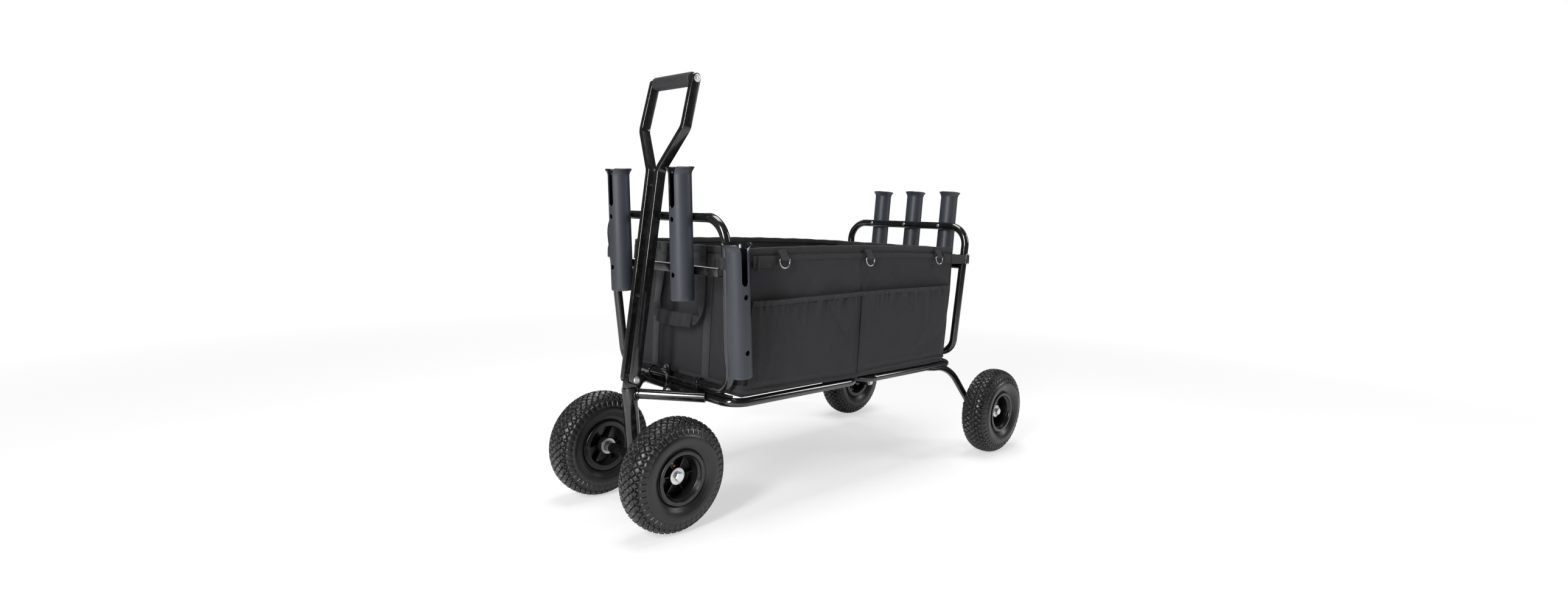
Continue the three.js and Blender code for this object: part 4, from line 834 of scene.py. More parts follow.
def makeBase(v):
    makePiece("steeringYoke", yokeParts(v), "paint", "chassis", ["steering_yoke"], bevel=0.0008)
    for end, body in bodyOf.items():
        makePiece(f"{end}BaseFrame", baseParts(v, end), "paint", body, [f"{end}_base_frame"], bevel=0.0008)
    for end, body in bodyOf.items():
        makePiece(f"{end}EarBolt", earBolt(v, end), "zinc", body, sharp=25)
    for label, side in nearFar:
        makePiece(f"rearLeg_{label}", rearLegParts(leg, side), "paint", "rear_base", [f"rear_leg_{label}"])
        spot = (v["hinge"][0], side * v["hingeY"], v["hinge"][1])
        parts = [outward(p, side, spot) for p in hingePinParts(v)]
        makePiece(f"hingePin_{label}", parts, "zinc", "chassis", [f"base_hinge_pin_{label}"])


makeBase(base)


# Steering stem and front axle, turned with the raked post

steering = {
    "stem": 0.0125, "stemTop": 0.173, "axle": 0.0125, "axleBore": 0.0084, "axleEnd": 0.1137, "pivot": (-0.58218, 0.322),
    "tongueWide": 0.02, "tongueDeep": 0.024, "collar": (0.0115, 0.0165, 0.0125, 0.0237), "washer": 0.0192,
    "washerAt": (-0.0402, -0.0386),
}


def makeSteering(v):
    centre = (stance["frontAxle"], 0, stance["axleHeight"])
    lean = math.radians(base["rake"])
    dx, dz = v["pivot"][0] - centre[0], v["pivot"][1] - centre[2]
    pivot = (dx * math.cos(lean) + dz * math.sin(lean), dz * math.cos(lean) - dx * math.sin(lean))
    outline = linkOutline((0, base["sleeveHigh"]), pivot, v["tongueDeep"] / 2, v["tongueDeep"] / 2)
    outline[:, 1] = np.maximum(outline[:, 1], base["sleeveHigh"] + 0.0006)
    pieces = {
        "stem": [bar(v["stem"], (0, 0, 0.0), (0, 0, v["stemTop"]), 36, 0.001), sidePlate(outline, v["tongueWide"], 0)],
        "axle": [roundSleeve(v["axleBore"], v["axle"], -v["axleEnd"], v["axleEnd"], 0.0008),
                 roundSleeve(*v["collar"], 0.0012, axis="z")],
    }
    pieces = {key: [turnedAboutY(part, -base["rake"], centre) for part in parts] for key, parts in pieces.items()}
    makePiece("steeringStem", pieces["stem"], "paint", "steering", ["steering_stem"], bevel=0.0012)
    makePiece("frontAxle", pieces["axle"], "paint", "steering", ["front_axle"])
    ring = roundSleeve(v["axle"] + 0.0002, v["washer"], *v["washerAt"], 0.0003, 64)
    for label, side in nearFar:
        spot = (centre[0], side * stance["frontTrack"] / 2, centre[2])
        makePiece(f"frontWasher_{label}", [outward(ring, side, spot)], "zinc", "steering", sharp=25)


makeSteering(steering)
print("base and steering made")


# Pull handle in its own leaning frame: x forward and back, z up along the legs

handle = {
    "lean": 7.1, "halfGap": 0.018, "wide": 0.014, "deep": 0.024, "corner": 0.0028,
    "spadeStart": 0.486, "spadeCorner": 0.582, "cornerY": 0.08, "topY": 0.0775, "top": 0.696, "setback": 0.021,
    "bend": 0.03, "grip": 0.016, "gripBore": 0.0045, "spacers": (0.193, 0.45), "spacer": 0.006,
    "gripBolt": (0.004, 0.009, 0.003), "pivotBolt": (0.005, 0.0085, 0.004, 0.0032),
}


def spadeSlope(v):
    # How far the legs of the spade close in for each metre they rise
    return (v["cornerY"] - v["topY"]) / (v["top"] - v["spadeCorner"])


def handleLegParts(v, side):
    deep, slope = v["deep"] / 2, spadeSlope(v)
    corners = [(0, side * v["halfGap"], -deep), (0, side * v["halfGap"], v["spadeStart"]),
               (0, side * v["cornerY"], v["spadeCorner"]), (0, side * (v["topY"] - deep * slope), v["top"] + deep)]
    path = arcRoute(corners, [v["bend"], v["bend"]], 10)
    ease = 1 - np.cos(np.linspace(0, math.pi / 2, 9))[:, None]
    foot = path[0] + unit(path[1] - path[0]) * ease * deep
    head = path[-1] + unit(path[-2] - path[-1]) * ease * deep
    points = np.concatenate([foot, path[1:-1], head[::-1]])
    points[:, 0] = np.interp(points[:, 2], [v["spadeStart"] - 0.01, v["spadeStart"] + 0.01, v["top"] + deep],
                             [0, 0.0006, v["setback"] * (1 + deep / (v["top"] - v["spadeStart"]))])
    low = np.clip((points[:, 2] + deep) / deep, 0, 1)
    high = np.clip((v["top"] + deep - points[:, 2]) / deep, 0, 1)
    depthShare = np.sqrt(np.clip(1 - (1 - np.minimum(low, high)) ** 2, 0.0006, 1))
    scale = np.stack([np.ones(len(points)), depthShare], -1)
    return sweep(points, boxSection(v["wide"], v["deep"], v["corner"]), [1, 0, 0], scale=scale)


def headedBolt(reach, radius, headRadius, headHigh, socket=0.0):
    # A bolt along Y with a domed head at each end
    top = reach + headHigh
    profile = [(0.0001, reach), (headRadius, reach), (headRadius, reach + headHigh * 0.45),
               (headRadius * 0.72, reach + headHigh * 0.93), (socket + 0.0001, top)]
    if socket:
        profile += [(socket, reach + headHigh * 0.4), (0.0001, reach + headHigh * 0.4)]
    head = turnedPart(softProfile(profile, 0.0003), segments=40)
    shank = bar(radius, (0, -reach - headHigh / 2, 0), (0, reach + headHigh / 2, 0))
    return [shank, *(mirrored(head, side) for side in (-1, 1))]


def makeHandle(v):
    def made(name, parts, finish, node, **options):
        turned = [turnedAboutY(part, v["lean"], pivot) for part in parts]
        makePiece(name, turned, finish, "handle", [node], **options)

    pivot = (steering["pivot"][0], 0, steering["pivot"][1])
    inner, top = v["halfGap"] - v["wide"] / 2, (v["setback"], 0, v["top"])
    spacers = [bar(v["spacer"], (0, -inner - 0.003, z), (0, inner - 0.0003, z), 24) for z in v["spacers"]]
    spacers += [weldBead((0, -inner + 0.0006, z), v["spacer"], (0, 1, 0), 0.0014) for z in v["spacers"]]
    made("handleLeg_near", [handleLegParts(v, -1), *spacers], "paint", "handle_leg_near", sharp=45)
    made("handleLeg_far", [handleLegParts(v, 1)], "paint", "handle_leg_far", sharp=45)
    reach, grip, bore = v["topY"] - v["wide"] / 2 - 0.0005, v["grip"], v["gripBore"]
    sleeve = softProfile([(bore, -reach), (grip - 0.001, -reach), (grip, -reach + 0.003), (grip, 0),
                          (grip, reach - 0.003), (grip - 0.001, reach), (bore, reach)], 0.0012)
    made("handleGrip", [turnedPart(sleeve, top, segments=64)], "grip", "handle_grip")
    outer = v["topY"] + v["wide"] / 2 + v["gripBolt"][1] * spadeSlope(v) + 0.0006
    made("gripBolt", [shifted(p, top) for p in headedBolt(outer, *v["gripBolt"])], "zinc", "handle_grip_bolt")
    outer = v["halfGap"] + v["wide"] / 2 + 0.0003
    made("pivotBolt", headedBolt(outer, *v["pivotBolt"]), "zinc", "handle_pivot_bolt")


makeHandle(handle)
print("handle made")


# End frames with their cross bars and latches

endFrames = {
    "tube": 0.011, "footZ": base["footZ"], "topZ": 0.7, "footY": 0.211, "topY": 0.227,
    "footBend": 0.045, "topBend": 0.057,
    "lean": {"front": 6.6, "rear": 2.5}, "holderLean": {"front": 3.4, "rear": 3.5},
    "footX": {end: rail["footX"] for end, rail in base["rails"].items()},
    "barZ": 0.583, "barThick": 0.003, "barRise": 0.02, "barDeep": 0.012, "barBend": 0.0028, "knuckle": 0.008,
}


def endFrameParts(v, end):
    away, lean = awayOf[end], math.radians(v["lean"][end])
    top = (v["topZ"] - v["footZ"]) / math.cos(lean)
    corners = [(0, 0, 0), (0, v["footY"], 0), (0, v["topY"], top), (0, -v["topY"], top), (0, -v["footY"], 0), (0, 0, 0)]
    radii = [v["footBend"], v["topBend"], v["topBend"], v["footBend"]]
    loop = sweep(arcRoute(corners, radii, 16)[:-1], circleSection(v["tube"], 32), [1, 0, 0], closed=True)
    turn = away * lean
    dx, dz = away * base["latchReach"], base["latchZ"] - v["footZ"]
    knuckle = (dx * math.cos(turn) - dz * math.sin(turn), dx * math.sin(turn) + dz * math.cos(turn))
    lug = sidePlate(linkOutline((0, 0), knuckle, v["tube"] / 2, v["knuckle"]), base["latchWide"], 0)
    return [turnedAboutY(p, math.degrees(turn), (v["footX"][end], 0, v["footZ"])) for p in (loop, lug)]


def crossBarParts(v, end):
    # A pressed channel between the legs: a flat web with both long edges turned back
    lean, holderLean = (math.radians(v[key][end]) for key in ("lean", "holderLean"))
    away, gap = awayOf[end], 0.0005
    height = (v["barZ"] - v["footZ"]) / math.cos(lean)
    drift = (v["topZ"] - v["barZ"]) * (math.tan(lean) - math.tan(holderLean))
    tilt = math.tan(abs(lean - holderLean)) * v["barRise"] / 2
    outer = v["tube"] + gap + drift * math.cos(lean) - tilt - 0.0003
    half = v["footY"] + (v["topY"] - v["footY"]) * (v["barZ"] - v["footZ"]) / (v["topZ"] - v["footZ"])
    half -= v["tube"] + 0.0004
    rise, thick, deep, bend = v["barRise"] / 2, v["barThick"], v["barDeep"], v["barBend"]
    turn = np.linspace(0, math.pi / 2, 6)
    upper = np.stack([bend * np.cos(turn) - bend, bend * np.sin(turn) + rise - bend], -1)
    folds = np.array([[-deep, rise], [-deep, rise - thick], [-thick, rise - thick],
                      [-thick, thick - rise], [-deep, thick - rise], [-deep, -rise]])
    channel = np.concatenate([upper[::-1] * [1, -1], upper, folds])
    ring = np.stack([away * (outer + channel[:, 0]), channel[:, 1] + height], -1)
    return [turnedAboutY(sidePlate(ring, 2 * half, 0), away * v["lean"][end], (v["footX"][end], 0, v["footZ"]))]


def latchParts():
    # About its pivot: hub, pin, rod down to the toe, knob, block and screw
    y, half = base["latchY"], base["latchWide"] / 2
    drop = base["latchFoot"] - base["latchZ"] + base["gap"]
    lines = [
        (0.008, (0, y - half, 0), (0, y + half, 0), 32, 0.001), (0.004, (0, y, 0), (0, 0.005, 0), 20),
        (0.0035, (0, y, drop + 0.003), (0, y, 0), 20), (0.004, (0, y, drop), (0, y, drop + 0.007), 24, 0.0008),
        (0.0065, (0, y, 0.004), (0, y, 0.0135), 6, 0.001),
        (0.0028, (0, y - half - 0.0022, 0), (0, y - half + 0.001, 0), 16, 0.0006),
    ]
    block = boxPart((-0.0068, y - half + 0.0006, -0.009), (0.0068, y + half - 0.0006, 0.0105))
    parts = [bar(*line) for line in lines]
    return [*parts[:5], block, parts[5]]


def makeEndFrames(v):
    for end in awayOf:
        body = f"{end}_frame"
        makePiece(f"{end}EndFrame", endFrameParts(v, end), "paint", body, [f"{end}_end_frame"], bevel=0.0008)
        makePiece(f"{end}CrossBar", crossBarParts(v, end), "paint", body, [f"{end}_cross_bar"], bevel=0.0006)
        spot = (v["footX"][end] + awayOf[end] * base["latchReach"], 0, base["latchZ"])
        parts = [shifted(p, spot) for p in latchParts()]
        makePiece(f"{end}Latch", parts, "paint", f"{end}_latch_lever", [f"{end}_latch"], bevel=0.0006)


makeEndFrames(endFrames)
print("end frames made")


# Rod holders

holder = {
    "radius": 0.0257, "foot": 0.0265, "wall": 0.003, "rim": 0.0325, "flare": 0.0155, "length": 0.292, "floor": 0.004,
    "drain": 0.006, "edge": 0.002, "slotHalf": 0.0095, "slotDeep": 0.088, "slotFlare": 0.0155, "slotFlareDeep": 0.021,
    "hole": 0.006, "holes": (0.112, 0.234), "pad": 0.007, "seat": 0.0005,
    "front": {"top": 0.806, "turn": -3.4, "places": {"near": -0.121, "far": 0.121}},
    "rear": {"top": 0.804, "turn": 3.5, "places": {"near": -0.13, "middle": 0, "far": 0.13}},
    "corner": {"top": 0.647, "forward": 0.007},
}


def slotHalfWidth(z, v):
    # Half width of the slot at depth z below the rim: a flared mouth, straight sides and a round foot
    shoulder = np.clip(1 - z / v["slotFlareDeep"], 0, 1)
    mouth = v["slotFlare"] * (1 - np.sqrt(np.clip(1 - shoulder ** 2, 0, 1)))
    foot = np.clip(v["slotDeep"] - z, 0, v["slotHalf"])
    straight = v["slotHalf"] * np.sqrt(np.clip(1 - (1 - foot / v["slotHalf"]) ** 2, 0, 1))
    return straight + mouth


def flareShare(depth, v):
    return (v["rim"] - v["radius"]) * np.clip(1 - depth / v["flare"], 0, 1) ** 1.9


def holderShell(v):
    # Outer skin as a grid of depth and turn; the turn starts and ends at the slot's two edges
    quarter = lambda steps: 1 - np.sin(np.linspace(0, math.pi / 2, steps))
    flareEnd, edge = v["flare"] * 1.4, v["length"] - v["edge"]
    depth = np.concatenate([flareEnd * np.linspace(0, 1, 40)[:-1] ** 1.7,
                            np.linspace(flareEnd, v["slotDeep"] - v["slotHalf"], 12)[:-1],
                            v["slotDeep"] - v["slotHalf"] * quarter(10), np.linspace(v["slotDeep"], edge, 40)[1:],
                            v["length"] - v["edge"] * quarter(4)[1:]])
    radius = v["radius"] + flareShare(depth, v) + (v["foot"] - v["radius"]) * smoothStep(depth, 0.03, v["length"])
    rounded = v["foot"] - v["edge"] * (1 - np.sqrt(np.clip(1 - ((depth - edge) / v["edge"]) ** 2, 0, 1)))
    radius = np.where(depth > edge, rounded, radius)[:, None]
    start = np.arcsin(np.clip(slotHalfWidth(depth, v)[:, None] / radius, 0, 0.98))
    angle = start + (2 * math.pi - 2 * start) * np.linspace(0, 1, 73)[None, :]
    height = np.broadcast_to(-depth[:, None], angle.shape)
    verts = np.stack([-radius * np.cos(angle), radius * np.sin(angle), height], -1)
    return verts.reshape(-1, 3), gridFaces(*angle.shape)


def holderFloor(v):
    low, inner, drain = -v["length"], v["radius"] - v["wall"] / 2, v["drain"]
    corners = [(drain, low), (inner, low + 0.0006), (inner, low + v["floor"]), (drain, low + v["floor"])]
    return turnedPart(softProfile(corners, 0.0005), axis="z", segments=72)


def cutBy(obj, cutters):
    # Takes the cutters' shapes away and keeps the result as the object's own mesh
    tools = [linked(f"cutter{k}", buildMesh(f"cutter{k}", [part])) for k, part in enumerate(cutters)]
    for tool in tools:
        setAll(obj.modifiers.new(tool.name, "BOOLEAN"), operation="DIFFERENCE", solver="EXACT", object=tool)
    bpy.context.view_layer.update()
    result = bpy.data.meshes.new_from_object(obj.evaluated_get(bpy.context.evaluated_depsgraph_get()))
    obj.modifiers.clear()
    old = obj.data
    obj.data = result
    bpy.data.meshes.remove(old)
    for tool in tools:
        bpy.data.meshes.remove(tool.data)


def makeHolder(name, node, place, pads=()):
    v = holder
    shell = linked(name, buildMesh(name, [holderShell(v)]))
    setAll(shell.modifiers.new("wall", "SOLIDIFY"), thickness=v["wall"], offset=-1)
    cutBy(shell, [bar(v["hole"], (-0.04, 0, -z), (-0.01, 0, -z), 28) for z in v["holes"]])
    mesh = shell.data
    coords = np.empty(len(mesh.vertices) * 3)
    mesh.vertices.foreach_get("co", coords)
    coords = coords.reshape(-1, 3)
    # The UV map's first number is 1 on the inner skin and 0 outside; it places the bore's painted shade
    skin = v["radius"] + flareShare(-coords[:, 2], v)
    inner = (np.hypot(coords[:, 0], coords[:, 1]) < skin - v["wall"] / 2).astype(float)
    parts = [(coords, [list(p.vertices) for p in mesh.polygons], np.stack([inner, coords[:, 2]], -1))]
    # The floor inside takes the bore's painted shade; the pads do not
    for part, value in [(holderFloor(v), 1.0), *((pad, 0.0) for pad in pads)]:
        parts.append((*part[:2], np.full((len(part[0]), 2), value)))
    bpy.data.objects.remove(shell)
    body = "rear_frame" if "rear" in node else "front_frame"
    makePiece(name, [place(p) for p in parts], "holder", body, [node], bevel=0.0006, sharp=42)


def makeHolders(e):
    tops = {end: e["footX"][end] + away * (e["topZ"] - e["footZ"]) * math.tan(math.radians(e["lean"][end]))
            for end, away in awayOf.items()}
    for end, away in awayOf.items():
        v = holder[end]
        offset = e["tube"] + holder["seat"] + holder["radius"]
        x = tops[end] + away * (offset + (v["top"] - e["topZ"]) * math.tan(math.radians(abs(v["turn"]))))
        for label, y in v["places"].items():
            # The rear ones are turned round, slots outward
            place = lambda p: turnedAboutY((p[0] * [-away, -away, 1], *p[1:]), v["turn"], (x, y, v["top"]))
            makeHolder(f"{end}Holder_{label}", f"rod_holder_{end}_{label}", place)
            if end == "rear":
                screw = [bar(0.0045, (-0.0138, 0, 0), (-0.0113, 0, 0), 28, 0.0009),
                         bar(0.0025, (-0.012, 0, 0), (0.0142, 0, 0), 16)]
                parts = [turnedAboutY(p, v["turn"], (tops[end], y, e["topZ"])) for p in screw]
                makePiece(f"holderScrew_{label}", parts, "zinc", "rear_frame", [f"rear_holder_screw_{label}"])
    makeCornerHolder(e, tops["front"], **holder["corner"])


def makeCornerHolder(e, frontTop, top, forward):
    # Stands along the near leg of the front frame, its slot to the near side
    foot = np.array([e["footX"]["front"], -e["footY"], e["footZ"]])
    along = unit(np.array([frontTop, -e["topY"], e["topZ"]]) - foot)
    distance = e["tube"] + holder["seat"] + holder["rim"]
    centre = foot + along * (top - e["footZ"]) / along[2]
    centre += [-forward, -math.sqrt(distance ** 2 - forward ** 2), 0]
    # Turned from upright to the leg's line about the axis square to both, k being its cross product matrix
    axis = unit(np.cross([0, 0, 1], along))
    angle = math.acos(along[2])
    k = np.array([[0, -axis[2], axis[1]], [axis[2], 0, -axis[0]], [-axis[1], axis[0], 0]])
    matrix = np.eye(3) + math.sin(angle) * k + (1 - math.cos(angle)) * k @ k
    quarter = np.array([[0, -1, 0], [1, 0, 0], [0, 0, 1]])
    swing = math.asin(forward / distance)
    toLeg = np.array([math.cos(-swing), math.sin(-swing), 0])
    ends = (holder["radius"] - 0.0015, holder["rim"] + 0.0002)
    pads = [bar(holder["pad"], *(toLeg * r + [0, 0, -depth] for r in ends), 24, 0.0006) for depth in holder["holes"]]
    place = lambda p: (p[0] @ (matrix @ quarter).T + centre, *p[1:])
    makeHolder("cornerHolder", "rod_holder_corner", place, pads)


makeHolders(endFrames)
print("rod holders made")


# Cargo bag: each half is a sewn shell with outer pockets, bound edges, webbing and rings

bag = {
    "halfWidth": 0.2275, "seam": -0.038, "frontFoot": -0.44, "frontTop": -0.43, "rearFoot": 0.376, "rearTop": 0.395,
    "corner": 0.02, "cloth": 0.0022, "under": {"front": 0.018, "rear": 0.01}, "floor": 0.2958, "bulge": 0.0035,
    "lower": 0.3015, "frontLift": 0.0115, "rearLift": (0.0095, 0.0028), "upper": 0.6325, "upperArch": 0.0085,
    "keep": 0.245, "keepFrom": 0.295, "foldSeeds": {"front": (11, 1.26), "rear": (23, 1.28)},
    "gather": 1.7, "gatherSeed": {"front": 5, "rear": 9}, "softSeed": {"front": 31, "rear": 37}, "pleatStep": 0.0125,
    "pocketReach": 0.0085, "pocketInset": 0.015, "pocketCloth": 0.0016, "hem": 0.5168, "hemRise": 0.0083,
    "pocketGrid": (80, 272), "hemBand": 0.0115,
    "hangHalf": 0.196, "hangLevel": 0.2925, "hang": (0.0125, 0.0034, 0.0015),
    "rimBand": 0.0145, "rimDeep": 0.0062, "rimTape": (0.0135, 0.0016), "rimTapeDrop": 0.0235, "wallHigh": 0.33,
    "cord": 0.0038, "footTape": (0.011, 0.0014), "cornerCord": 0.0024,
    "wallFolds": (26, (0.36, 0.62), (0.05, 0.14), (-60, 60), (-0.002, 0.002)),
    "softFolds": (18, (0.33, 0.5), (0.03, 0.11), (-75, 75), (-0.003, 0.003)),
}


def sewn(name, parts, finish, end, replaced=(), **options):
    # A piece of the bag: it rides with its half, with a mesh of its own
    obj = makePiece(name, parts, finish, bodyOf[end], replaced, **options)
    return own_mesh(obj)


def lowerEdge(x, v=bag):
    # The bag's lower edge hangs to the seam between the halves and lifts towards both ends
    behind = x - v["seam"]
    front = v["lower"] + v["frontLift"] * np.clip(-behind / 0.4, 0, 1) ** 0.85
    rear = v["lower"] + v["rearLift"][0] * (1 - np.exp(-np.clip(behind, 0, 1) / 0.016))
    return np.where(behind < 0, front, rear + v["rearLift"][1] * np.clip(x / 0.36, 0, 1))


def upperEdge(x, v=bag):
    return v["upper"] + v["upperArch"] * np.sin(math.pi * np.clip((x + 0.435) / 0.83, 0, 1)) ** 0.7


def resample(points, spacing):
    s = pathLengths(points)
    even = np.linspace(0, s[-1], max(2, int(round(s[-1] / spacing)) + 1))
    return np.stack([np.interp(even, s, points[:, k]) for k in range(points.shape[1])], -1)


def foldTable(seed, width, count, height, lengths, angles, heights):
    # Soft ridges: place across and up, lean, length, breadth and height of each
    random = np.random.default_rng(seed)
    return np.stack([random.uniform(0, width, count), random.uniform(*height, count),
                     np.radians(random.uniform(*angles, count)), random.uniform(*lengths, count),
                     random.uniform(0.008, 0.026, count), random.uniform(*heights, count)], -1)


def foldRelief(across, up, table):
    # Each ridge is exp(-(q / breadth)^2 - (p / length)^2), p along it and q across it
    relief = np.zeros(np.broadcast(across, up).shape)
    for place, level, lean, length, breadth, height in table:
        p = (across - place) * math.sin(lean) + (up - level) * math.cos(lean)
        q = (across - place) * math.cos(lean) - (up - level) * math.sin(lean)
        relief += height * np.exp(-((q / breadth) ** 2) - (p / length) ** 2)
    return relief


def bagPlan(v, end, spacing=0.005):
    # Plan of a half's wall at its foot, from the near seam round the end to the far seam
    out = awayOf[end]
    w, seam, foot = v["halfWidth"], v["seam"] + out * 0.0002, v[f"{end}Foot"]
    corners = [(seam, -w, 0), (foot, -w, 0), (foot, w, 0), (seam, w, 0)]
    plan = resample(arcRoute(corners, [v["corner"]] * 2, 8), spacing)
    along = tangentsOf(plan, False)
    return plan, -out * np.stack([-along[:, 1], along[:, 0], 0 * along[:, 0]], -1)


def arch(share):
    # 0 at both ends and 1 in the middle
    return np.sin(math.pi * np.clip(share, 0, 1))


def lengthArch(v, x):
    return arch((x - v["frontFoot"]) / (v["rearFoot"] - v["frontFoot"]))


def leaned(v, end, x, share):
    # The end wall leans outward: x is stretched from the seam by the height's share
    foot, top = v[f"{end}Foot"], v[f"{end}Top"]
    return v["seam"] + (x - v["seam"]) * (1 + share * (top - foot) / (foot - v["seam"]))


wallFolds = {end: foldTable(*seeds, *bag["wallFolds"]) for end, seeds in bag["foldSeeds"].items()}


def wallSurface(v, end, share, plan, outward, lift=0.0):
    # Wall points at a height's share of each plan point, bulged by the load line and the soft folds
    low, high = lowerEdge(plan[:, 0]), upperEdge(plan[:, 0])
    z = low + share * (high - low)
    s = pathLengths(plan)
    side = np.abs(plan[:, 1]) > v["halfWidth"] - 0.001
    bulge = v["bulge"] * np.sin(math.pi * share) * np.where(side, lengthArch(v, plan[:, 0]), 0.6)
    relief = foldRelief(s, z, wallFolds[end]) * arch(share) ** 0.4
    point = np.stack(np.broadcast_arrays(leaned(v, end, plan[:, 0], share), plan[:, 1], z), -1)
    return point + outward * (bulge + relief + lift)[..., None], s, z


def wallLine(v, end, near, shares, lift=0.0012):
    # One upright line of the wall, at the plan point where near(plan, outward) is least
    plan, outward = bagPlan(v, end, 0.004)
    k = int(np.argmin(near(plan, outward)))
    return np.array([wallSurface(v, end, share, plan, outward, lift)[0][k] for share in shares]), outward[k]


def bagShell(v, end, rows=66):
    # The under-curve is a quarter ellipse from the flat floor out to the lower edge; the floor closes it
    plan, outward = bagPlan(v, end)
    grid, uvs = [], []
    foot, s, z = wallSurface(v, end, 0, plan, outward)
    for angle in np.linspace(0, math.pi / 2, 7)[:-1]:
        point = foot - outward * v["under"][end] * (1 - math.sin(angle))
        point[:, 2] = v["floor"] + (z - v["floor"]) * (1 - math.cos(angle))
        grid.append(point)
        uvs.append(np.stack([s, point[:, 2]], -1))
    for share in np.linspace(0, 1, rows):
        point, s, z = wallSurface(v, end, share, plan, outward)
        grid.append(point)
        uvs.append(np.stack([s, z], -1))
    faces = gridFaces(len(grid), len(plan)) + [list(range(len(plan)))[::-1]]
    return np.concatenate(grid), faces, np.concatenate(uvs)


def ribbon(points, outward, width, thick, rounding=0.0004):
    # A flat tape along a path, its face along outward
    points = np.asarray(points, float)
    along = tangentsOf(points, False)
    across = unit(np.cross(along, np.broadcast_to(np.asarray(outward, float), points.shape)))
    face = np.cross(across, along)
    section = boxSection(width, thick, min(rounding, thick * 0.45), 2)
    verts = points[:, None] + section[None, :, :1] * across[:, None] + section[None, :, 1:] * face[:, None]
    uv = uvGrid(section[None, :, 0], pathLengths(points)[:, None])
    return verts.reshape(-1, 3), tubeFaces(len(points), len(section)), uv


def pocketRange(v, end):
    span = (v["frontFoot"] + v["pocketInset"], v["seam"] - 0.0002)
    return span if end == "front" else (v["seam"] + 0.0002, v["rearFoot"] - v["pocketInset"])


def hemLevel(x, v=bag):
    return v["hem"] + v["hemRise"] * smoothStep(x, -0.44, 0.1)


def gatherTable(seed, x0, x1, step):
    # Pleats under the hem: place, breadth, length, drift and height
    random = np.random.default_rng(seed)
    count = int((x1 - x0) / step)
    places = np.linspace(x0 + 0.012, x1 - 0.008, count) + random.uniform(-0.006, 0.006, count)
    breadth, length = random.uniform(0.0026, 0.0062, count), random.uniform(0.014, 0.065, count)
    drift = random.uniform(-0.22, 0.22, count)
    sign = random.choice([-1, 1], count, p=[0.5, 0.5])
    return np.stack([places, breadth, length, drift, sign * random.uniform(0.0008, 0.003, count)], -1)


def pocketRelief(v, end, x, z):
    # Standoff from the wall, pinched at the sewn edges, with the pleats of the elastic hem
    x0, x1 = pocketRange(v, end)
    low, hem = lowerEdge(x), hemLevel(x)
    share, drop = (z - low) / (hem - low), hem - z
    edges = smoothStep(x - x0, -0.001, 0.028) * smoothStep(x1 - x, -0.001, 0.03)
    stand = v["pocketReach"] * smoothStep(share, 0.0, 0.1) * (0.32 + 0.68 * edges)
    relief = np.zeros(x.shape)
    for place, breadth, length, drift, height in gatherTable(v["gatherSeed"][end], x0, x1, v["pleatStep"]):
        across = (x - place - drift * drop) / (breadth + 0.15 * drop)
        relief += v["gather"] * height * np.exp(-(across ** 2)) * np.exp(-((drop / length) ** 1.3))
    table = foldTable(v["softSeed"][end], x1 - x0, *v["softFolds"])
    soft = foldRelief(x - x0, z, table) * arch(share) ** 0.5
    return stand + (relief + soft) * (0.25 + 0.75 * edges) + 0.0022 * arch(share) * edges


def sideSurface(v, end, side, x, z, lift):
    # A point of the side wall at plan place x and height z, pushed out by lift
    x, z = np.broadcast_arrays(x, z)
    low, high = lowerEdge(x), upperEdge(x)
    share = (z - low) / (high - low)
    y = v["halfWidth"] + v["bulge"] * arch(share) * lengthArch(v, x) + lift
    return np.stack([leaned(v, end, x, share), side * y, z], -1)


def pocketPart(v, end, side):
    rows, columns = v["pocketGrid"]
    x = np.linspace(*pocketRange(v, end), columns)[None, :]
    z = lowerEdge(x) + np.linspace(0, 1, rows)[:, None] * (hemLevel(x) - lowerEdge(x))
    x = np.broadcast_to(x, z.shape)
    verts = sideSurface(v, end, side, x, z, pocketRelief(v, end, x, z) + 0.0006)
    return verts.reshape(-1, 3), gridFaces(*x.shape), uvGrid(x, z)


def hemPart(v, end, side):
    # The hem follows 0.3 of the pleats' depth over their running mean
    x = np.linspace(*pocketRange(v, end), 180)
    ruffled = pocketRelief(v, end, x, hemLevel(x))
    even = np.convolve(np.pad(ruffled, 12, mode="edge"), np.full(25, 1 / 25), mode="valid")
    z = hemLevel(x) - v["hemBand"] / 2 + 0.0012
    line = sideSurface(v, end, side, x, z, even + 0.3 * (ruffled - even) + 0.0022)
    return ribbon(line, [0, side, 0], v["hemBand"], 0.0026, 0.0011)


def stitches(points, outward, length=0.0026, gap=0.0016, wide=0.00055):
    # Thread stitches laid along a seam line: each a slim diamond with a raised middle
    points = np.asarray(points, float)
    outward = np.broadcast_to(np.asarray(outward, float), points.shape)
    s = pathLengths(points)
    starts = np.arange(0.002, s[-1] - length, length + gap)
    at = lambda where, values: np.stack([np.interp(where, s, values[:, k]) for k in range(3)], -1)
    a, b = at(starts, points), at(starts + length, points)
    up = unit(at(starts, outward))
    across, lift, mid = np.cross(unit(b - a), up) * wide / 2, up * wide * 0.7, (a + b) / 2
    verts = np.stack([a, mid - across + lift * 0.6, b, mid + across + lift * 0.6, mid + lift * 1.3, mid - lift], 1)
    diamond = [[0, 1, 4], [1, 2, 4], [2, 3, 4], [3, 0, 4], [1, 0, 5], [2, 1, 5], [3, 2, 5], [0, 3, 5]]
    faces = np.arange(len(starts))[:, None, None] * 6 + np.array(diamond)[None]
    return verts.reshape(-1, 3), faces.reshape(-1, 3).tolist()


def raised(line, height):
    return line + np.stack([0 * height, 0 * height, height], -1)


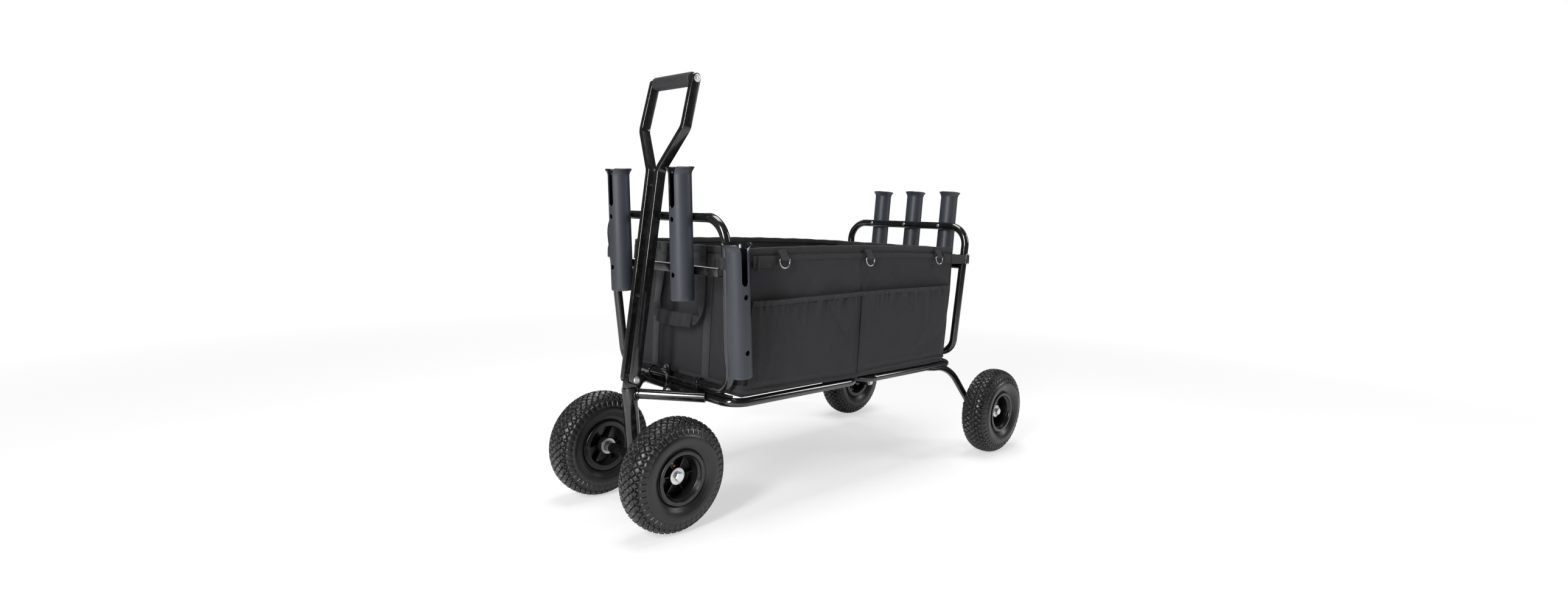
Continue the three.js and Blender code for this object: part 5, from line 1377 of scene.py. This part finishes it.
def bagRimParts(v, end):
    # Folded tape over the upper edge, a flat tape below it, and the seam lines of both
    plan, outward = bagPlan(v, end, 0.006)
    top, s, _ = wallSurface(v, end, 1.0, plan, outward, -v["cloth"] / 2)
    wave = 0.0004 * np.sin(s * 90) + 0.0003 * np.sin(s * 37 + 1)
    line = raised(top, wave - v["rimBand"] / 2 + 0.0028)
    second = wallSurface(v, end, 1 - v["rimTapeDrop"] / v["wallHigh"], plan, outward, 0.0006)[0]
    fold = sweep(line, boxSection(v["rimDeep"], v["rimBand"], 0.0026, 4), [0, 0, 1])
    tape = ribbon(second, outward, *v["rimTape"])
    seams = ((line, 0.0034, -0.0042), (second, 0.0009, -0.0045), (second, 0.0009, 0.0045))
    return [fold, tape], [(path + outward * lift + [0, 0, rise], outward) for path, lift, rise in seams]


def lowerBinding(v, end):
    # Corded edge round the foot with a flat tape and its seam line above
    plan, outward = bagPlan(v, end, 0.006)
    line, s, _ = wallSurface(v, end, 0.0, plan, outward, 0.0014)
    wave = 0.0005 * np.sin(s * 61) + 0.0004 * np.sin(s * 23 + 2)
    cord = sweep(raised(line, wave), circleSection(v["cord"], 14) * [1.0, 1.25], [0, 0, 1])
    tape = ribbon(line + outward * 0.0006 + [0, 0, 0.008], outward, *v["footTape"])
    return [cord, tape], (line + outward * 0.0016 + [0, 0, 0.0085], outward)


def hangingRoll(v, end):
    # Loose hem of the floor cloth that hangs below the end wall, between the rails
    y = np.linspace(-v["hangHalf"], v["hangHalf"], 90)
    droop = 0.0007 * np.sin(y * 47) + 0.0005 * np.sin(y * 120 + 1)
    centre = np.stack([v[f"{end}Foot"] - awayOf[end] * 0.0015 + 0 * y, y, v["hangLevel"] + droop], -1)
    return ribbon(centre, [awayOf[end], 0, 0.25], *v["hang"])


def cornerSeam(v, end, side):
    # Upright bound seam at a corner of a half, where the wall faces both ways alike
    near = lambda plan, outward: np.abs(outward[:, 1] - side * 0.71) + np.abs(np.abs(outward[:, 0]) - 0.71)
    rows, normal = wallLine(v, end, near, np.linspace(0.015, 0.965, 50))
    return sweep(rows, circleSection(v["cornerCord"], 10), normal)


def makeBagHalf(v, end):
    label = end.capitalize()
    sewn(f"bag{label}Shell", [bagShell(v, end)], "cloth", end, [f"bag_{end}_half"], wall=v["cloth"], sharp=60)
    for name, side in nearFar:
        wall = v["pocketCloth"] * awayOf[end] * side
        sewn(f"pocket{label}{name.capitalize()}", [pocketPart(v, end, side)], "cloth", end, wall=wall, sharp=60)
    rim, rimSeams = bagRimParts(v, end)
    lower, lowerSeam = lowerBinding(v, end)
    parts = [*rim, *lower, *(make(v, end, side) for make in (hemPart, cornerSeam) for side in (-1, 1))]
    if end == "front":
        parts.append(hangingRoll(v, end))
    sewn(f"bag{label}Binding", parts, "binding", end, sharp=50)
    sewn(f"bag{label}Thread", [stitches(*line) for line in (*rimSeams, lowerSeam)], "thread", end)


for end in bodyOf:
    makeBagHalf(bag, end)
print("bag shells made")


# Webbing, carry handles and lashing rings

straps = {
    "width": 0.025, "thick": 0.0016, "uprightY": 0.1, "handleY": 0.072, "handleTop": 0.607, "gripTop": 0.474,
    "gripLow": 0.441, "gripHalf": 0.063, "swings": {-1: (0.02, 0), 1: (0.004, 0.008)},
    "patch": {"front": (-0.362, -0.428), "rear": (0.318, 0.384)}, "patchLevel": 0.605, "patchHigh": 0.0265,
    "keeperLow": {"front": 0.021, "rear": 0.014},
    "box": {"front": (-0.368, -0.392), "rear": (0.324, 0.348)}, "boxHalf": 0.0095,
}


def endWallX(v, end, z):
    foot, top = v[f"{end}Foot"], v[f"{end}Top"]
    return foot + (top - foot) * (z - 0.305) / v["wallHigh"]


def uprightStrap(v, end, y):
    # Webbing sewn down the end wall, over its folds
    near = lambda plan, outward: np.abs(plan[:, 1] - y) + 9 * (np.abs(plan[:, 0] - v[f"{end}Foot"]) > 0.001)
    rows = wallLine(v, end, near, np.linspace(0.01, 0.93, 60))[0]
    return ribbon(rows, [awayOf[end], 0, 0], straps["width"], straps["thick"])


def carryHandle(v, end, w=straps):
    # Two webbing drops that swing outward, then fold in across the foot to enter the cloth grip
    out, parts, low = awayOf[end], [], (w["gripTop"] + w["gripLow"]) / 2
    for side, (swing, shift) in w["swings"].items():
        top = w["handleY"] + shift
        corners = [(0.003, side * top, w["handleTop"]), (0.012, side * (top + swing * 0.7), w["gripTop"] + 0.05),
                   (0.02, side * (top + swing), low + 0.004), (0.021, side * 0.05, low - 0.002)]
        route = resample(arcRoute(corners, [0.08, 0.015], 12), 0.003)
        route[:, 0] = endWallX(v, end, route[:, 2]) + out * route[:, 0]
        share = pathLengths(route) / pathLengths(route)[-1]
        tip = 0.75 * np.sin(math.pi * smoothStep(share, 0.62, 1.0)) * side
        normal = np.stack([out * np.cos(tip), out * np.sin(tip), 0.35 * np.sin(tip) * side], -1)
        z = np.linspace(w["handleTop"] + 0.001, w["handleTop"] + 0.026, 6)
        tab = np.stack([endWallX(v, end, z) + out * 0.0042, np.full(6, side * top), z], -1)
        parts.append(ribbon(route, normal, w["width"] * 0.94, w["thick"]))
        parts.append(ribbon(tab, [out, 0, 0], w["width"], w["thick"] * 1.6))
    return parts


def carryGrip(v, end, w=straps):
    # A sleeve folded flat over the webbing: a thin loop whose hemmed lower edge stands off the wall
    rows, count, wide = 49, 44, w["gripHalf"]
    share = np.linspace(-1, 1, rows)[:, None]
    angle = np.linspace(0, 2 * math.pi, count, endpoint=False)
    high = (w["gripTop"] - w["gripLow"]) / 2
    along = np.sign(np.cos(angle)) * np.abs(np.cos(angle)) ** 0.5
    depth = np.sign(np.sin(angle)) * np.abs(np.sin(angle)) ** 0.6
    z = (w["gripTop"] + w["gripLow"]) / 2 - 0.003 * (1 - share ** 2) + high * along[None, :]
    lower = (w["gripTop"] - z) / (2 * high)
    thick = 0.0034 - 0.0014 * lower + 0.0012 * (1 - share ** 2)
    ripple = 0.0008 * np.sin(share * 7 + lower * 2.5) + 0.0005 * np.sin(share * 17 + 1)
    x = endWallX(v, end, z) + awayOf[end] * (0.0185 + 0.011 * lower ** 1.3 + thick * depth[None, :] + ripple)
    verts = np.stack([x, share * (wide + 0.006 * lower), z], -1).reshape(-1, 3)
    uv = uvGrid(share * wide, pathLengths(np.stack([along, depth], -1))[None, :] * high)
    return verts, tubeFaces(rows, count), uv


def sidePatch(v, end, side, w=straps):
    # A webbing strip sewn along the upper wall at the corner, its upright keeper loop and its turned edge
    x, level = np.linspace(*w["patch"][end], 14), w["patchLevel"]
    strips = (
        (x, level, 0.0024, w["patchHigh"], w["thick"]),
        (x[-4], np.linspace(level - w["keeperLow"][end], level + 0.014, 8), 0.0046, 0.0075, 0.0018),
        (x[0], np.linspace(level - 0.0135, level + 0.0135, 8), 0.0036, 0.003, 0.0014),
    )
    return [ribbon(sideSurface(v, end, side, across, up, lift), [0, side, 0], wide, thick)
            for across, up, lift, wide, thick in strips]


def boxStitch(v, end, side, w=straps):
    # A stitched square with its diagonals near the strip's inner end
    x0, x1 = w["box"][end]
    z0, z1 = w["patchLevel"] - w["boxHalf"], w["patchLevel"] + w["boxHalf"]
    lines = (x0, z0, x1, z0), (x1, z0, x1, z1), (x1, z1, x0, z1), (x0, z1, x0, z0), (x0, z0, x1, z1), (x0, z1, x1, z0)
    paths = [(np.linspace(xa, xb, 6), np.linspace(za, zb, 6)) for xa, za, xb, zb in lines]
    return [stitches(sideSurface(v, end, side, x, z, 0.0034), [0, side, 0]) for x, z in paths]


rings = {
    "places": (("front", -0.328, "front"), ("middle", -0.0145, "rear"), ("rear", 0.302, "rear")),
    "y": 0.238, "bar": 0.613, "half": 0.0165, "depth": 0.0205, "wire": 0.0018,
    "lean": -0.009, "tab": 0.025, "tabHigh": 0.018,
}


def ringPart(v, x, side):
    # A D of wire: a straight bar above and a half round below
    angle = np.linspace(math.pi, 2 * math.pi, 30)
    half, drop = v["half"], v["depth"] - v["half"]
    loop = np.stack([half * np.cos(angle), 0 * angle, -drop + half * np.sin(angle)], -1)
    corners = [(0, 0, 0), (-half, 0, 0), *loop[1:-1:3].tolist(), (half, 0, 0), (0, 0, 0)]
    radii = [0.0035] + [0.004] * (len(corners) - 4) + [0.0035]
    path = arcRoute(corners, radii, 5)[:-1] + [x, 0, v["bar"] - v["wire"]]
    path[:, 1] = side * (v["y"] + 0.0012 * (v["bar"] - path[:, 2]) / v["depth"])
    return sweep(path, circleSection(v["wire"], 14), [0, 1, 0], closed=True)


def ringTab(v, x, side):
    # Webbing looped through the ring's bar and sewn under the rim tape
    bar, wallY, high = v["bar"] - v["wire"], v["y"] - 0.0055, v["tabHigh"]
    front = [(x, side * (wallY + 0.0025 + 0.004 * (1 - k)), bar + 0.0045 + high * k) for k in np.linspace(1, 0, 8)]
    angles = np.linspace(0, math.pi, 12)
    turn = [(x, side * (v["y"] + 0.0034 * math.cos(a)), bar - 0.0036 * math.sin(a)) for a in angles]
    back = [(x, side * (wallY + 0.001), bar + 0.0045 + high * k) for k in np.linspace(0.1, 1, 6)]
    path = resample(np.array(front + turn + back), 0.002)
    part = ribbon(path, unit(np.cross(tangentsOf(path, False), [1, 0, 0])), v["tab"], 0.0014)
    # Sewn on askew: its upper end is drawn to one side
    part[0][:, 0] += v["lean"] * np.clip((part[0][:, 2] - bar - 0.0035) / high, 0, 1)
    return part


def makeWebbing(v):
    for end in bodyOf:
        label = end.capitalize()
        parts = [uprightStrap(v, end, side * straps["uprightY"]) for side in (-1, 1)]
        parts += [part for side in (-1, 1) for part in sidePatch(v, end, side)] + carryHandle(v, end)
        parts += [ringTab(rings, x, side) for _, x, half in rings["places"] if half == end for side in (-1, 1)]
        sewn(f"webbing{label}", parts, "webbing", end, sharp=50)
        sewn(f"carryGrip{label}", [carryGrip(v, end)], "cloth", end, sharp=60)
        seams = [part for side in (-1, 1) for part in boxStitch(v, end, side)]
        sewn(f"webbing{label}Thread", seams, "thread", end)
    for name, x, half in rings["places"]:
        for label, side in nearFar:
            parts = [ringPart(rings, x, side)]
            makePiece(f"ring_{name}_{label}", parts, "wire", f"{half}_rings", [f"lashing_ring_{name}_{label}"])


tie = {
    "below": 0.002, "thick": 0.0014, "wrap": 0.62, "endHigh": 0.0245, "endThick": 0.0018, "endLong": (-0.0062, 0.0072),
    "slider": 0.0008, "past": 0.0016, "sliderLong": (-0.0075, 0.0085),
}


def tieCentre(e, end, side):
    # The leg's centre at the height of the bag's corner strip
    z = straps["patchLevel"] - tie["below"]
    share = (z - e["footZ"]) / (e["topZ"] - e["footZ"])
    x = e["footX"][end] + awayOf[end] * (z - e["footZ"]) * math.tan(math.radians(e["lean"][end]))
    return np.array([x, side * (e["footY"] + share * (e["topY"] - e["footY"])), z])


def legTie(e, end, side):
    # Webbing round the frame's leg, its two ends meeting at the bag's corner strip
    centre = tieCentre(e, end, side)
    x = bag[f"{end}Top"] * 0.25 + bag[f"{end}Foot"] * 0.75 - awayOf[end] * 0.004
    toBag = np.array([x, side * (bag["halfWidth"] + 0.0042), centre[2]])
    away = unit(centre - toBag)
    angle = math.atan2(away[1], away[0]) + math.pi * tie["wrap"] * np.linspace(-1, 1, 40)
    loop = centre + (e["tube"] + tie["thick"]) * np.stack([np.cos(angle), np.sin(angle), 0 * angle], -1)
    path = resample(np.concatenate([[toBag], loop, [toBag + [0, -side * 0.0016, 0]]]), 0.0025)
    return ribbon(path, unit(np.cross(tangentsOf(path, False), [0, 0, 1])), straps["patchHigh"], tie["thick"])


def tieEnd(e, end, side):
    # The tie's free end, folded back over the slider on the leg's outer face
    x = np.linspace(*tie["endLong"], 9) * awayOf[end]
    y = side * (e["tube"] + 0.0036 + 0.0012 * np.cos(np.linspace(-1.2, 1.2, 9)))
    path = tieCentre(e, end, side) + np.stack([x, y, 0 * x], -1)
    return ribbon(path, [0, side, 0], tie["endHigh"], tie["endThick"])


def tieBuckle(e, end, side):
    # A wire slider standing on the tie beside the leg
    high, y = straps["patchHigh"] / 2 + tie["past"], side * (e["tube"] + 0.0026)
    x0, x1 = (awayOf[end] * x for x in tie["sliderLong"])
    corners = [(0, y, high), (x0, y, high), (x0, y, -high), (x1, y, -high), (x1, y, high), (0, y, high)]
    path = arcRoute(corners, [0.0025] * 4, 4)[:-1] + tieCentre(e, end, side)
    return sweep(path, circleSection(tie["slider"], 10), [0, 1, 0], closed=True)


def makeTies(e):
    for end in awayOf:
        ties = [make(e, end, side) for make in (legTie, tieEnd) for side in (-1, 1)]
        makePiece(f"legTie{end.capitalize()}", ties, "webbing", f"{end}_frame", sharp=50)
        sliders = [tieBuckle(e, end, side) for side in (-1, 1)]
        makePiece(f"tieSlider{end.capitalize()}", sliders, "wire", f"{end}_frame")


makeWebbing(bag)
makeTies(endFrames)
print("webbing and rings made")


# Floor boards and the stowed cargo net

boards = {"y": 0.221, "low": 0.2983, "high": 0.3023, "front": (-0.433, -0.0005), "rear": (0.0035, 0.369), "hem": 0.012}

for end, body in bodyOf.items():
    x0, x1 = boards[end]
    panel = boxPart((x0, -boards["y"], boards["low"]), (x1, boards["y"], boards["high"]))
    a, b, y = x0 + boards["hem"], x1 - boards["hem"], boards["y"] - boards["hem"]
    hem = arcRoute([(a, 0, 0), (a, y, 0), (b, y, 0), (b, -y, 0), (a, -y, 0), (a, 0, 0)], [0.01] * 4, 6)
    seam = stitches(resample(hem, 0.004) + [0, 0, boards["high"]], [0, 0, 1], 0.004, 0.0025, 0.0006)
    makePiece(f"floorBoard_{end}", [panel, seam], "board", body, [f"floor_board_{end}"], bevel=0.0012)

cargoNet = {
    "centre": (-0.222, 0, 0.3026), "halfX": 0.17, "halfY": 0.19, "thinHem": 0.01, "wideHem": 0.02, "pitch": 0.009,
    "period": 0.024, "cord": 0.001, "level": 0.0015, "area": 0.07, "tab": (0.009, 0.005, 0.0058), "tabReach": 0.006,
    "hookWire": 0.00165, "hookLong": 0.034, "hookHalf": 0.0074, "gate": 0.0021, "hookIn": 0.009, "hookLevel": 0.004,
}


def netCords(v):
    # Cords run along Y at even steps; each swings half a step, cos(2 pi y / period), against its neighbours
    span = v["halfX"] - v["thinHem"] / 2
    count = int(round(2 * span / v["pitch"]))
    y = np.linspace(-v["halfY"] + v["wideHem"] / 2, v["halfY"] - v["wideHem"] / 2, 176)
    phase = 2 * math.pi * y / v["period"]
    parts = []
    for k in range(count + 1):
        x = -span + 2 * span * k / count + (-1) ** k * span / count * np.cos(phase)
        points = np.stack([np.clip(x, -span, span), y, v["level"] + 0.0004 * np.sin(phase + k * 1.57)], -1)
        parts.append(sweep(points, circleSection(v["cord"], 7), [0, 0, 1]))
    return parts


def netHems(v):
    # Folded tape round the four edges, a little ruffled where the elastic draws it up
    t = np.linspace(-1, 1, 90)
    ruffle = 0.0004 * np.sin(t * 60) + 0.0003 * np.sin(t * 23)
    parts = []
    for side in (-1, 1):
        x, y = side * (v["halfX"] - v["thinHem"] / 2) + 0 * t, side * (v["halfY"] - v["wideHem"] / 2) + 0 * t
        thin = np.stack([x, t * v["halfY"], v["level"] + ruffle * 0.8], -1)
        wide = np.stack([t * (v["halfX"] - 0.001), y, v["level"] + ruffle], -1)
        parts.append(ribbon(thin, [0, 0, 1], v["thinHem"], 0.0022, 0.0009))
        parts.append(ribbon(wide, [0, 0, 1], v["wideHem"], 0.0024, 0.001))
    return parts


def hookParts(v):
    # A snap hook: a long loop of wire, its gate a thinner bar along one side with a sleeve at each end
    half, long = v["hookHalf"], v["hookLong"] - v["hookWire"]
    corners = [(0.0, 0, 0), (0.0, half, 0), (long, half, 0), (long, -half, 0), (0.0, -half, 0), (0.0, 0, 0)]
    loop = arcRoute(corners, [0.0035, half * 0.98, half * 0.98, 0.0035], 9)[:-1]
    sleeves = ((0.0055, 0.009), (long - 0.0115, long - 0.0085))
    return [sweep(loop, circleSection(v["hookWire"], 12), [0, 0, 1], closed=True),
            *(bar(v["gate"], (a, -half, 0), (b, -half, 0), 18, 0.0004) for a, b in sleeves)]


def makeNet(v):
    tabs, hooks, (long, wide, high) = [], [], v["tab"]
    for end, out in awayOf.items():
        for label, side in nearFar:
            x, y = out * (v["halfX"] + v["tabReach"] / 2), side * (v["halfY"] - v["hookIn"])
            tabs.append(boxPart((x - long, y - wide, 0.0), (x + long, y + wide, high)))
            spot = np.array([x - out * 0.0026, y, v["hookLevel"]]) + v["centre"]
            parts = [(p[0] * [out, 1, 1] + spot, *p[1:]) for p in hookParts(v)]
            hooks.append(makePiece(f"netHook_{end}_{label}", parts, "wire", "net", [f"net_hook_{end}_{label}"]))
    parts = [shifted(p, v["centre"]) for p in netCords(v) + netHems(v) + tabs]
    net = makePiece("cargoNet", parts, "elastic", "net", ["cargo_net"], sharp=50)


makeNet(cargoNet)
print("boards and net made")


# Studio: pale floor, white surround, soft lamps

studio = {"diffuse": 0.13, "glossy": 0.08, "floorHalf": 40, "floorColour": 0.93, "fade": (1.1, 3.4), "glow": (0.55, 1)}


def makeSurround(v):
    world = bpy.data.worlds.new("studio")
    bpy.context.scene.world = world
    world.use_nodes = True
    tree = world.node_tree
    light = tree.nodes["Background"]
    light.inputs["Color"].default_value = (1, 1, 1, 1)
    path = tree.nodes.new("ShaderNodeLightPath")
    seen = mathNode(tree, "MAXIMUM", path.outputs["Is Camera Ray"], path.outputs["Is Transmission Ray"])
    soft = mapRange(tree, path.outputs["Is Glossy Ray"], 0, 1, v["diffuse"], v["glossy"])
    strength = mathNode(tree, "MAXIMUM", seen, soft)
    tree.links.new(strength, light.inputs["Strength"])


def makeFloor(v):
    # The floor glows towards white with distance, for the camera only
    half = v["floorHalf"]
    mesh = bpy.data.meshes.new("studioFloor")
    corners = [(-half, -half, 0), (half, -half, 0), (half, half, 0), (-half, half, 0)]
    mesh.from_pydata(corners, [], [[0, 1, 2, 3]])
    floor = linked("studioFloor", mesh)
    pale = {"Base Color": (*[v["floorColour"]] * 3, 1), "Roughness": 0.9, "IOR": 1.3}
    material, tree, shader = startMaterial("studioFloor", pale)
    length = tree.nodes.new("ShaderNodeVectorMath")
    length.operation = "LENGTH"
    tree.links.new(coordinates(tree, "Object"), length.inputs[0])
    far = mapRange(tree, length.outputs["Value"], *v["fade"], *v["glow"])
    path = tree.nodes.new("ShaderNodeLightPath")
    glow = tree.nodes.new("ShaderNodeEmission")
    mix = tree.nodes.new("ShaderNodeMixShader")
    tree.links.new(mathNode(tree, "MULTIPLY", far, path.outputs["Is Camera Ray"]), mix.inputs["Fac"])
    tree.links.new(shader.outputs["BSDF"], mix.inputs[1])
    tree.links.new(glow.outputs["Emission"], mix.inputs[2])
    tree.links.new(mix.outputs["Shader"], tree.nodes["Material Output"].inputs["Surface"])
    floor.data.materials.append(material)


lamps = {
    "key": {"place": (-3.4, -1.2, 1.8), "size": (0.6, 2.0), "power": 145},
    "side": {"place": (2.6, -2.2, 1.9), "size": (0.5, 1.6), "power": 34},
    "top": {"place": (0.0, 0.1, 3.4), "size": (2.6, 1.4), "power": 90},
    "back": {"place": (1.2, 3.0, 2.2), "size": (1.2, 1.6), "power": 25},
}


def makeLamps(setup, target=(0, 0, 0.4)):
    for name, v in setup.items():
        data = bpy.data.lights.new(name, "AREA")
        setAll(data, shape="RECTANGLE", size=v["size"][0], size_y=v["size"][1], energy=v["power"])
        lamp = linked(name, data)
        place = np.array(v["place"], float)
        back = unit(place - np.array(target))
        right = unit(np.cross([0, 0, 1], back))
        matrix = np.eye(4)
        matrix[:3, 0], matrix[:3, 1], matrix[:3, 2], matrix[:3, 3] = right, np.cross(back, right), back, place
        lamp.matrix_world = matrix.T.tolist()


makeSurround(studio)
makeFloor(studio)
makeLamps(lamps)
bpy.context.scene.view_settings.view_transform = "Standard"

print("studio made")
